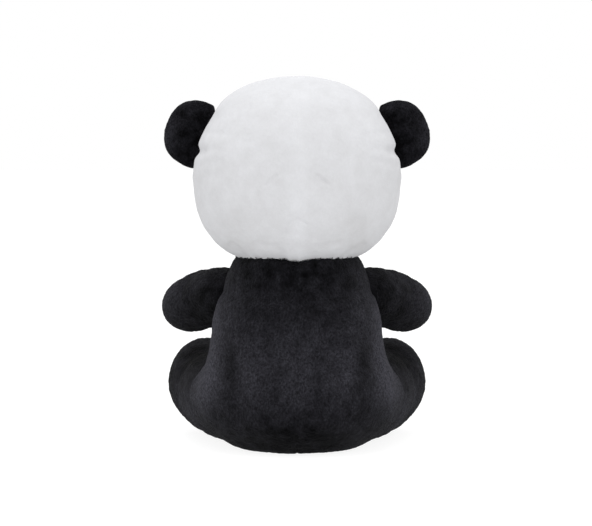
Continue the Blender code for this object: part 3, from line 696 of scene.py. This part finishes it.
def earAxes():
    root = np.array(joints["ear_left_fold"]["pos_m"])
    base = np.array(joints["ear_left_fold"]["axis"], float) * -1
    if base[2] < 0:
        base = -base
    out = np.cross([0, 1.0, 0], base)
    if out[0] < 0:
        out = -out
    return root, out, base, np.cross(base, out)


def earCup(distance):
    # how far the ear's middle layer curls forward, at a distance (in mm) from its root
    return earLook["cup"] * ((distance / earLook["radius"]) ** 2 - earLook["cupMiddle"])


def earForm():
    # +out points from the head, base runs up along the root, and thick is the ear's own back
    cover = quadBall("earCover", earLook["cuts"])
    aim = points(cover)
    root, out, base, thick = earAxes()
    reach, rise = aim[:, 0], aim[:, 2]
    full = earLook["baseHalf"] + (earLook["half"] - earLook["baseHalf"]) * smoothStep(reach, -0.1, 0.5)
    # the ear's outline: how far it reaches out, back into the head, up and down
    shallower = earLook["insideHigh"] - earLook["insideLow"]
    inside = earLook["insideLow"] + shallower * smoothStep(rise, -0.3, 0.8)
    outHalf = np.where(reach > 0, earLook["radius"], inside)
    wideHalf = np.where(rise > 0, earLook["above"], earLook["radius"])
    flat = np.maximum(np.hypot(reach, rise), 1e-6)
    power = earLook["roundness"]
    shares = np.abs(reach / flat / outHalf) ** power + np.abs(rise / flat / wideHalf) ** power
    edge = shares ** (-1 / power)
    outward, wide = reach * edge, rise * edge
    squash = np.sign(aim[:, 1]) * np.abs(aim[:, 1]) ** earLook["flatness"]
    away = squash * full - earCup(np.hypot(outward, wide))
    setPoints(cover, root + (outward[:, None] * out + wide[:, None] * base + away[:, None] * thick) * mm)
    return cover


# the covers: cloth

clothLook = {
    "steps": 20, "quality": 4, "mass": 0.3, "stretch": 12.0, "shear": 4.0, "bending": 0.15,
    "seamWidth": 0.004,  # a seam pulls on the cloth this far to each side, in metres
}


def fillGroup(cover, name, weights, levels=20):
    group = cover.vertex_groups.new(name=name)
    for level in range(1, levels + 1):
        chosen = np.flatnonzero(np.round(weights * levels) == level)
        if len(chosen):
            group.add(chosen.tolist(), level / levels, "REPLACE")


def addCloth(cover, look, seamNear, held):
    # seams are sewn tight, and the filling presses from inside
    fillGroup(cover, "seams", seamNear)
    fillGroup(cover, "held", held)
    cloth = cover.modifiers.new("cloth", "CLOTH")
    settings = cloth.settings
    settings.quality = clothLook["quality"]
    settings.mass = clothLook["mass"]
    settings.tension_stiffness = clothLook["stretch"]
    settings.compression_stiffness = clothLook["stretch"]
    settings.shear_stiffness = clothLook["shear"]
    settings.bending_stiffness = clothLook["bending"]
    settings.use_pressure = True
    settings.uniform_pressure_force = look["pressure"]
    settings.vertex_group_mass = "held"
    settings.vertex_group_shrink = "seams"
    settings.shrink_min = 0.0
    settings.shrink_max = look["seamPull"]
    settings.effector_weights.gravity = 0.0
    cloth.point_cache.frame_start = 1
    cloth.point_cache.frame_end = clothLook["steps"]


def capMove(cover, before, cap):
    after = points(cover)
    move = after - before
    size = np.linalg.norm(move, axis=1)
    limit = cap * mm
    # the further a point went, the more it is held back, and it never goes past the cap
    move *= (limit * np.tanh(size / limit) / np.maximum(size, 1e-9))[:, None]
    after = before + move
    # tight seams draw the whole cover in, so it is let out again to its size
    low, high = before.min(axis=0), before.max(axis=0)
    share = (after - after.min(axis=0)) / (after.max(axis=0) - after.min(axis=0))
    setPoints(cover, low + share * (high - low))


def settleCovers(covers):
    before = {cover.name: points(cover) for cover, look in covers}
    for step in range(1, clothLook["steps"] + 1):
        bpy.context.scene.frame_set(step)
    for cover, look in covers:
        applyAll(cover)
        capMove(cover, before[cover.name], look["cap"])
    bpy.context.scene.frame_set(1)


headCover = headForm()
torsoCover = torsoForm()
armAxes = limbAxes(joints["arm_left_raise"], None)
legAxes = limbAxes(joints["leg_left_spread"], "sole_left")
armCover = limbForm("armCover", armLook, armAxes)
legCover = limbForm("legCover", legLook, legAxes)
earCover = earForm()
print("forms made")

seamWidth = clothLook["seamWidth"]
stuffed = [(headCover, headLook), (torsoCover, torsoLook), (armCover, armLook), (legCover, legLook)]
covers = stuffed + [(earCover, earLook)]
# the neck, the seat and the roots of the limbs are held, and the seams pull less and less towards them
side, front, height = points(headCover).T
away = height - neckLevel
seams = bump(front - headLook["seamY"], seamWidth) * smoothStep(away, *headLook["seamFade"])
addCloth(headCover, headLook, seams, 1 - smoothStep(away, *headLook["heldFade"]))

side, front, height = points(torsoCover).T
seams = np.maximum(bump(side, seamWidth), bump(front - torsoLook["seamY"], seamWidth))
away = neckLevel - height
held = np.maximum(1 - smoothStep(away, *torsoLook["heldFade"]), height < torsoLook["heldBelow"])
addCloth(torsoCover, torsoLook, seams * smoothStep(away, *torsoLook["seamFade"]), held)

along, across, up = limbLocal(points(armCover), armAxes)
seams = bump(across, seamWidth) * smoothStep(along, *armLook["seamFade"])
addCloth(armCover, armLook, seams, 1 - smoothStep(along, *armLook["heldFade"]))

along, across, up = limbLocal(points(legCover), legAxes)
soleSeam = bump(along - legLook["soleAt"] * mm, seamWidth)
seams = np.maximum(bump(across, seamWidth) * (along < legLook["seamEnd"]), soleSeam)
resting = points(legCover)[:, 2] < legLook["heldBelow"]
held = np.maximum(1 - smoothStep(along, *legLook["heldFade"]), resting)
addCloth(legCover, legLook, seams * smoothStep(along, *legLook["seamFade"]), held)
settleCovers(stuffed)
print("cloth settled")


# the covers: pile, seams and folds

pileLook = {
    "levels": 2,
    "lumps": [(0.0034, 0.26), (0.0019, 0.22)],  # clumps and tufts: size in metres, depth in mm
}


def addPile(cover, strength):
    # more faces, then the pile's clumps and tufts as real relief
    fine = cover.modifiers.new("fine", "SUBSURF")
    fine.levels = pileLook["levels"]
    fine.render_levels = pileLook["levels"]
    for size, depth in pileLook["lumps"]:
        texture = bpy.data.textures.new(f"pile{int(size * 1e5)}", "CLOUDS")
        texture.noise_scale = size
        texture.noise_depth = 1
        texture.cloud_type = "GRAYSCALE"
        relief = cover.modifiers.new("relief", "DISPLACE")
        relief.texture = texture
        relief.texture_coords = "LOCAL"
        relief.strength = 2 * depth * mm * strength
        relief.mid_level = 0.5
    applyAll(cover)


def sink(cover, amount):
    setPoints(cover, points(cover) - normals(cover) * amount[:, None])


def lumps(places, look, seed):
    # uneven filling under the cloth
    return look["lumpDepth"] * mm * roughField(places, look["lumpSize"], seed)


hipReach = {
    # how far the bridging cloth reaches, in mm: high up, lower down and at the floor
    "least": 5.0, "most": 24.0, "floor": 28.0,
    "from": 0.058, "to": 0.034, "floorFrom": 0.030, "floorTo": 0.010, "top": 0.075,
}


def hipSpan(places):
    # the crease between hip and leg is open at the top and fades out lower down
    low = smoothStep(-places[:, 2], -hipReach["from"], -hipReach["to"])
    span = hipReach["least"] + (hipReach["most"] - hipReach["least"]) * low
    lowest = smoothStep(-places[:, 2], -hipReach["floorFrom"], -hipReach["floorTo"])
    span += (hipReach["floor"] - hipReach["most"]) * lowest
    return span * (places[:, 2] < hipReach["top"])


torsoSkin, legSkin = surfaceOf(torsoCover), surfaceOf(legCover)
torsoSwell = fillBetween(torsoCover, legSkin, hipSpan, True)
legSwell = fillBetween(legCover, torsoSkin, hipSpan, False)
setPoints(torsoCover, points(torsoCover) + normals(torsoCover) * torsoSwell[:, None])
setPoints(legCover, points(legCover) + normals(legCover) * legSwell[:, None])
for cover, look in covers:
    addPile(cover, look["pile"])
print("pile raised")

places = points(headCover)
side, front, height = places.T
amount = closeSeam(side, height, headLook["backSeam"], 0.4)
amount += closeSeam(front - headLook["seamY"], height + np.abs(side), headLook["sideSeam"], 1.1)
amount += creaseField(places, headLook["folds"]) + neckGathers(places, headLook["neckGather"])
sink(headCover, amount + lumps(places, headLook, 4))

places = points(torsoCover)
side, front, height = places.T
run = np.arctan2(front, side) * torsoLook["seatSeamRound"] * mm
amount = closeSeam(side, height, torsoLook["seam"], 0.2)
amount += closeSeam(front - torsoLook["seamY"], height, torsoLook["seam"], 0.9)
amount += torsoLook["seatSeam"] * closeSeam(height - torsoLook["seatSeamZ"], run, torsoLook["seam"], 0.5)
amount += creaseField(places, torsoLook["folds"])
sink(torsoCover, amount + lumps(places, torsoLook, 7))

places = points(armCover)
along, across, up = limbLocal(places, armAxes)
sink(armCover, closeSeam(across, along, armLook["seam"], 0.3) + lumps(places, armLook, 9))

places = points(legCover)
along, across, up = limbLocal(places, legAxes)
soleAt = legLook["soleAt"] * mm
amount = closeSeam(across, along, legLook["seam"], 0.3) * (along < soleAt)
run = np.arctan2(up, across) * legLook["soleSeamRound"] * mm
amount += closeSeam(along - soleAt, run, legLook["seam"], 0.8)
sink(legCover, amount + lumps(places, legLook, 12))

root, out, base, thick = earAxes()
places = points(earCover)
away = places - root
reach = np.linalg.norm(away, axis=1) / mm
distance = away @ thick + earCup(reach) * mm
run = np.arctan2(away @ base, away @ out) * earLook["seamRound"] * mm
rim = smoothStep(reach / earLook["radius"], earLook["seamFrom"], earLook["seamTo"])
sink(earCover, closeSeam(distance, run, earLook["seam"], 0.2) * rim + lumps(places, earLook, 15))

for seed, (cover, look) in enumerate(covers, 21):
    paintNap(cover, look, seed)

tableLevel = 0.0002  # what meets the table lies flat on it
for cover in (torsoCover, legCover):
    places = points(cover)
    places[:, 2] = np.maximum(places[:, 2], tableLevel)
    setPoints(cover, places)
print("seams and folds drawn")


# the covers: cut into panels

panelLook = {
    "turnIn": 0.0016, "bendFrom": -0.002,  # the seam allowance, and where a limb starts to bend, in metres
    "headFill": 0.85, "torsoFill": 0.8, "limbFill": 0.8, "earFill": 0.5, "muzzleFill": 0.8, "patchFill": 0.3,
}


def finishPanel(panel, material, nodes):
    turnEdgesIn(panel, panelLook["turnIn"])
    panel.data.materials.clear()
    panel.data.materials.append(plush[material])
    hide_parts(*nodes)


def neckEdge(panel, depth):
    places = points(panel)
    drawNeckIn(places, depth)
    places[:, 2] += neckWave(places)
    setPoints(panel, places)


left, backward, upward = Vector((1, 0, 0)), Vector((0, 1, 0)), Vector((0, 0, 1))
right, forward, downward = -left, -backward, -upward
middle = Vector((0, 0, 0))
neckPoint = Vector((0, 0, neckLevel))
headSeam = Vector((0, headLook["seamY"], 0))
torsoSeam = Vector((0, torsoLook["seamY"], 0))
seatSeam = Vector((0, 0, torsoLook["seatSeamZ"]))

headPanels = {
    "headBackLeft": ([(middle, left), (headSeam, backward)], ["head_back_left", "head_stuffing"]),
    "headBackRight": ([(middle, right), (headSeam, backward)], ["head_back_right"]),
    "faceLeft": ([(middle, left), (headSeam, forward)], ["face_left"]),
    "faceRight": ([(middle, right), (headSeam, forward)], ["face_right"]),
}
for name, (planes, nodes) in headPanels.items():
    panel = splitPanel(headCover, name, planes + [(neckPoint, upward)])
    neckEdge(panel, neckLook["headPull"])
    finishPanel(panel, "whitePlush", nodes)
    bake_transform(panel)

torsoPanels = {
    "backPanelLeft": ([(middle, left), (torsoSeam, backward), (seatSeam, upward), (neckPoint, downward)],
                      "blackPlush", "black_plush", ["back_panel_left", "body_stuffing"]),
    "backPanelRight": ([(middle, right), (torsoSeam, backward), (seatSeam, upward), (neckPoint, downward)],
                       "blackPlush", "black_plush", ["back_panel_right", "neck_stuffing"]),
    "bellyPanel": ([(torsoSeam, forward), (seatSeam, upward), (neckPoint, downward)],
                   "whitePlush", "white_plush", ["belly_panel"]),
    "seatPanel": ([(seatSeam, downward)], "blackPlush", "black_plush", ["seat_panel"]),
}
for name, (planes, material, slotName, nodes) in torsoPanels.items():
    panel = splitPanel(torsoCover, name, planes)
    neckEdge(panel, neckLook["torsoPull"])
    finishPanel(panel, material, nodes)
    if name == "seatPanel":
        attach(panel, "torso")
    else:
        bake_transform(panel)


def vec(values):
    return Vector([float(v) for v in values])


def blackPair(cover, name, planes, nodes):
    # a left panel and its mirror copy on the right
    panel = splitPanel(cover, name + "Left", planes)
    twin = mirrored(panel, name + "Right")
    for piece, side, flip in ((panel, "left", [1, 1, 1]), (twin, "right", [-1, 1, 1])):
        finishPanel(piece, "blackPlush", [node.format(side) for node in nodes])
        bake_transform(piece)


def limbPanels(cover, panels):
    for name, (planes, nodes) in panels.items():
        blackPair(cover, name, planes, nodes)


pivot, along, across, up = armAxes
armPlane = vec(pivot)
limbPanels(armCover, {
    "armBack": ([(armPlane, vec(across))], ["arm_{}_back", "arm_{}_stuffing"]),
    "armFront": ([(armPlane, vec(-across))], ["arm_{}_front"]),
})

pivot, along, across, up = legAxes
legPlane = vec(pivot)
solePoint = vec(pivot + along * legLook["soleAt"] * mm)
limbPanels(legCover, {
    "legOuter": ([(legPlane, vec(across)), (solePoint, vec(-along))], ["leg_{}_outer", "leg_{}_stuffing"]),
    "legInner": ([(legPlane, vec(-across)), (solePoint, vec(-along))], ["leg_{}_inner"]),
    "sole": ([(solePoint, vec(along))], ["sole_{}"]),
})

root, out, base, thick = earAxes()
earPlane = vec(root - thick * earLook["split"])
for name, keep, node in (("earBack", thick, "ear_{}_back"), ("earFront", -thick, "ear_{}_front")):
    blackPair(earCover, name, [(earPlane, vec(keep))], [node])
print("panels cut and sewn")


# face

muzzleLook = {
    "cuts": 15, "depth": 21.0, "pile": 0.5, "seamSize": 0.05, "seamDepth": 0.8, "gather": 0.5, "gathers": 26,
    "hidden": -0.09,  # what lies deeper in the head than this is cut away
    "napAndPaintedLight": 0.5, "napRough": 0.1, "napAndPaintedLightSpots": [],
}
patchLook = {
    "cuts": 15, "halfWidth": 12.5, "halfHeight": 17.0, "tilt": 28.0, "rise": 1.7, "under": 0.8,
    "flatness": 0.6, "pile": 0.6, "napAndPaintedLight": 0.15, "napRough": 0.1, "napAndPaintedLightSpots": [],
}
eyeLook = {
    "halfWidth": 6.2, "halfHeight": 6.2, "pinch": 0.0, "rise": 4.4, "rim": 0.5, "lift": 1.2,
    "shank": 2.2, "shankLength": 13.5, "turn": 23.0, "tilt": 4.0,
}
noseLook = {
    "halfWidth": 8.5, "halfHeight": 6.0, "pinch": 0.22, "rise": 4.4, "rim": 0.5, "lift": 0.1,
    "shank": 2.2, "shankLength": 8.0, "turn": 0.0, "tilt": 17.0,
}


def headInside(places):
    # below 0 inside the head's form, above 0 outside
    away = places - np.array([0, 0, headLook["centreZ"]])
    half = np.array(headLook["inside"]) * mm
    return np.sum(np.abs(away / half) ** headLook["roundness"], axis=1) - 1


def makeMuzzle():
    cover = quadBall("muzzlePanel", muzzleLook["cuts"])
    half = (boxHigh("muzzle_panel") - boxLow("muzzle_panel")) / 2
    half[1] = muzzleLook["depth"] * mm
    setPoints(cover, np.array(muzzleMiddle) + points(cover) * half)
    addPile(cover, muzzleLook["pile"])
    places = points(cover)
    edge = bump(headInside(places), muzzleLook["seamSize"]) * mm
    angle = np.arctan2(places[:, 2] - muzzleMiddle.z, places[:, 0])
    gather = muzzleLook["gather"] * np.sin(muzzleLook["gathers"] * angle)
    sink(cover, edge * (muzzleLook["seamDepth"] + gather))
    paintNap(cover, muzzleLook, 26)
    bm = bmesh.new()
    bm.from_mesh(cover.data)
    gone = headInside(points(cover)) < muzzleLook["hidden"]
    bmesh.ops.delete(bm, geom=[v for v in bm.verts if gone[v.index]], context="VERTS")
    bm.to_mesh(cover.data)
    bm.free()
    return cover


muzzleY = boxLow("muzzle_panel")[1] + muzzleLook["depth"] * mm
muzzleMiddle = Vector((0, muzzleY, boxMiddle("muzzle_panel")[2]))
muzzle = makeMuzzle()
muzzleSkin = surfaceOf(muzzle)
muzzleNodes = ["muzzle_panel", "muzzle_stuffing"]
finishPanel(muzzle, "whitePlush", muzzleNodes)
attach(muzzle, "head")


def frameOn(skin, centre, look):
    # a frame on a cover's surface, out from its centre; turn and tilt are in degrees
    turn, tilt = math.radians(look["turn"]), math.radians(look["tilt"])
    out = Vector((math.sin(turn) * math.cos(tilt), -math.cos(turn) * math.cos(tilt), math.sin(tilt)))
    spot = skin.ray_cast(centre, out)[0]
    return Matrix.Translation(spot) @ out.to_track_quat("Z", "Y").to_matrix().to_4x4()


headMiddle = Vector((0, 0, headLook["centreZ"]))
headSkin = surfaceOf(headCover)
eyeFrame = frameOn(headSkin, headMiddle, eyeLook)


def makePatch():
    # an oval of plush, sewn down round its edge on the face
    cover = quadBall("eyePatchLeft", patchLook["cuts"])
    flat = points(cover)
    tilt = Matrix.Rotation(math.radians(patchLook["tilt"]), 3, "Z")
    placed = []
    for x, y, z in flat:
        rise = (patchLook["rise"] if z > 0 else -patchLook["under"]) * abs(z) ** patchLook["flatness"]
        across = tilt @ Vector((x * patchLook["halfWidth"], y * patchLook["halfHeight"], 0)) * mm
        aim = (eyeFrame @ across) - headMiddle
        hit = headSkin.ray_cast(headMiddle, aim.normalized())[0]
        placed.append(hit + aim.normalized() * float(rise) * mm)
    setPoints(cover, np.array([list(p) for p in placed]))
    addPile(cover, patchLook["pile"])
    paintNap(cover, patchLook, 27)
    return cover


patch = makePatch()
patchTwin = mirrored(patch, "eyePatchRight")
for piece, node in ((patch, "eye_patch_left"), (patchTwin, "eye_patch_right")):
    piece.data.materials.clear()
    piece.data.materials.append(plush["blackPlush"])
    piece.data.shade_smooth()
    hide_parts(node)
    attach(piece, "head")


def makeButton(name, look, spotFrame, material, node):
    # a moulded button with a flat back, a rounded rim and a shank behind it
    bpy.ops.object.select_all(action="DESELECT")
    bpy.ops.mesh.primitive_uv_sphere_add(segments=48, ring_count=24, radius=1.0)
    button = bpy.context.object
    button.name = name
    button.data.name = name
    places = points(button)
    side, rise, out = places.T
    back = -look["rim"] * (1 - np.hypot(side, rise) ** 6)
    places[:, 2] = np.where(out > -0.02, out * look["rise"], back)
    places[:, 1] *= 1 + look["pinch"] * rise * (1 - np.abs(side))
    places[:, 0] *= look["halfWidth"] * (1 + look["pinch"] * 0.5 * rise)
    places[:, 1] *= look["halfHeight"]
    setPoints(button, places * mm)
    long = look["shankLength"] * mm
    behind = (0, 0, -long / 2)
    bpy.ops.mesh.primitive_cylinder_add(vertices=32, radius=look["shank"] * mm, depth=long, location=behind)
    shank = bpy.context.object
    rings = shank.modifiers.new("edge", "BEVEL")
    rings.width = 0.0004
    rings.segments = 3
    applyAll(shank)
    bpy.ops.object.select_all(action="DESELECT")
    shank.select_set(True)
    button.select_set(True)
    bpy.context.view_layer.objects.active = button
    bpy.ops.object.transform_apply(location=True, rotation=True, scale=True)
    bpy.ops.object.join()
    button.data.transform(spotFrame @ Matrix.Translation((0, 0, look["lift"] * mm)))
    button.data.materials.clear()
    button.data.materials.append(plain[material])
    button.data.shade_smooth()
    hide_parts(node)
    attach(button, "head")
    return button


eye = makeButton("eyeLeft", eyeLook, eyeFrame, "eyePlastic", "eye_left")
eyeTwin = mirrored(eye, "eyeRight")
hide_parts("eye_right")
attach(eyeTwin, "head")

noseFrame = frameOn(muzzleSkin, muzzleMiddle, noseLook)
makeButton("noseButton", noseLook, noseFrame, "nosePlastic", "nose")


mouthLook = {
    "stitches": 26, "halfWidth": 10.5, "drop": 6.2, "peak": 3.2, "sag": 1.4, "long": 1.5, "thick": 0.42,
    "lean": 0.25,
}
neckThread = {"stitches": 60, "inside": 2.4, "above": 1.2, "long": 2.2, "thick": 0.35, "lean": 1.2}
stitchDip = 0.35  # how far a stitch's ends dip into the cloth, as a share of its thickness


def makeStitch(long, thick):
    # one short thread lying on the cloth, along X, dipping in at both ends
    bpy.ops.object.select_all(action="DESELECT")
    bpy.ops.mesh.primitive_uv_sphere_add(segments=8, ring_count=6, radius=1.0)
    stitch = bpy.context.object
    places = points(stitch)[:, [2, 0, 1]] * [long, thick, thick]
    places[:, 2] -= stitchDip * thick * (places[:, 0] / long) ** 2
    setPoints(stitch, places * mm)
    stitch.data.shade_smooth()
    return stitch


def sewRow(name, frames, look, node):
    # copies of one stitch, each its own mesh, joined into one row
    model = makeStitch(look["long"], look["thick"])
    row = []
    for matrix in frames:
        mesh = model.data.copy()
        mesh.transform(matrix)
        copy = bpy.data.objects.new(name, mesh)
        bpy.context.scene.collection.objects.link(copy)
        row.append(copy)
    bpy.data.objects.remove(model, do_unlink=True)
    bpy.ops.object.select_all(action="DESELECT")
    for copy in row:
        copy.select_set(True)
    bpy.context.view_layer.objects.active = row[0]
    bpy.ops.object.join()
    row[0].data.materials.clear()
    row[0].data.materials.append(plain["blackThread"])
    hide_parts(node)
    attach(row[0], "head")


def mouthFrames():
    frames = []
    for k in range(mouthLook["stitches"]):
        share = -1 + 2 * k / (mouthLook["stitches"] - 1)
        peak = mouthLook["peak"] * abs(math.cos(math.pi * share / 2)) ** 3
        height = -mouthLook["drop"] + peak - mouthLook["sag"] * (1 - share * share)
        aimed = Vector((share * mouthLook["halfWidth"], -muzzleLook["depth"], height)).normalized()
        hit, facing = muzzleSkin.ray_cast(muzzleMiddle, aimed)[:2]
        along = Vector((mouthLook["lean"] if share < 0 else -mouthLook["lean"], 0, 1.0))
        along = (along - along.project(facing)).normalized()
        across = facing.cross(along)
        frames.append(Matrix.Translation(hit) @ Matrix((along, across, facing)).transposed().to_4x4())
    return frames


def neckFrames():
    # hand stitches that close the neck, deep in the fold between head and body
    frames = []
    start = Vector((0, 0, neckLevel + neckThread["above"] * mm))
    for k in range(neckThread["stitches"]):
        turn = 2 * math.pi * k / neckThread["stitches"]
        out = Vector((math.cos(turn), math.sin(turn), 0))
        hit = headSkin.ray_cast(start, out)[0]
        lean = Vector((-out.y, out.x, neckThread["lean"] * (1 if k % 2 else -1))).normalized()
        across = out.cross(lean)
        spot = hit - out * neckThread["inside"] * mm
        frames.append(Matrix.Translation(spot) @ Matrix((lean, across, out)).transposed().to_4x4())
    return frames


sewRow("mouthStitches", mouthFrames(), mouthLook, "mouth_stitch")
sewRow("neckStitches", neckFrames(), neckThread, "neck_stitch")

for cover, look in covers:
    bpy.data.objects.remove(cover, do_unlink=True)
print("face made")


# hidden parts that keep their own mesh

keptNodes = {
    "pellet_bag": "bagCloth", "eye_washer_left": "washerPlastic", "eye_washer_right": "washerPlastic",
    "nose_washer": "washerPlastic",
}
for node, name in keptNodes.items():
    for slotItem in frame["nodes"][node].material_slots:
        slotItem.material = plain[name]


# stage, light and camera

stageLook = {
    "radius": 30.0, "level": -0.0002, "shade": 0.18, "roughness": 0.9, "specular": 0.1, "glow": 0.89,
}
lightLook = {
    # place in metres, size in metres, power in watts
    "topSoftbox": ((0.0, 0.15, 1.25), 1.1, 5.0),
    "backFill": ((0.0, 1.5, 0.7), 1.2, 3.0),
    "frontFill": ((0.35, -1.1, 0.65), 0.2, 1.6),
}
lightAim = Vector((0, 0, 0.12))
cameraLook = {"distance": 1.40, "height": 0.195, "aimHeight": 0.1242, "aimSide": 0.0007, "lens": 126.7}


def makeStage():
    bpy.ops.object.select_all(action="DESELECT")
    bpy.ops.mesh.primitive_circle_add(
        vertices=96, radius=stageLook["radius"], fill_type="NGON", location=(0, 0, stageLook["level"]),
    )
    floor = bpy.context.object
    floor.name = "floor"
    material = newMaterial("paleFloor", **{
        "Base Color": (*[stageLook["shade"]] * 3, 1.0), "Roughness": stageLook["roughness"],
        "Specular IOR Level": stageLook["specular"], "Emission Color": (1.0, 1.0, 1.0, 1.0),
        "Emission Strength": stageLook["glow"],
    })[0]
    floor.data.materials.append(material)


def makeLight():
    world = bpy.data.worlds.new("studio")
    bpy.context.scene.world = world
    world.use_nodes = True
    background = world.node_tree.nodes["Background"]
    background.inputs["Color"].default_value = (1.0, 1.0, 1.0, 1.0)
    background.inputs["Strength"].default_value = 1.0
    for name, (place, size, power) in lightLook.items():
        data = bpy.data.lights.new(name, "AREA")
        data.size = size
        data.energy = power
        lamp = bpy.data.objects.new(name, data)
        lamp.location = place
        lamp.rotation_euler = (lightAim - Vector(place)).to_track_quat("-Z", "Y").to_euler()
        bpy.context.scene.collection.objects.link(lamp)


def makeCamera():
    data = bpy.data.cameras.new("camera")
    data.lens = cameraLook["lens"]
    data.sensor_width = 36.0
    data.clip_start = 0.01
    data.clip_end = 100.0
    camera = bpy.data.objects.new("camera", data)
    side = cameraLook["aimSide"]
    camera.location = (side, cameraLook["distance"], cameraLook["height"])
    aim = Vector((side, 0.0, cameraLook["aimHeight"])) - camera.location
    camera.rotation_euler = aim.to_track_quat("-Z", "Y").to_euler()
    bpy.context.scene.collection.objects.link(camera)
    bpy.context.scene.camera = camera


makeStage()
makeLight()
makeCamera()
bpy.context.scene.view_settings.view_transform = "Standard"
print("stage, light and camera set")
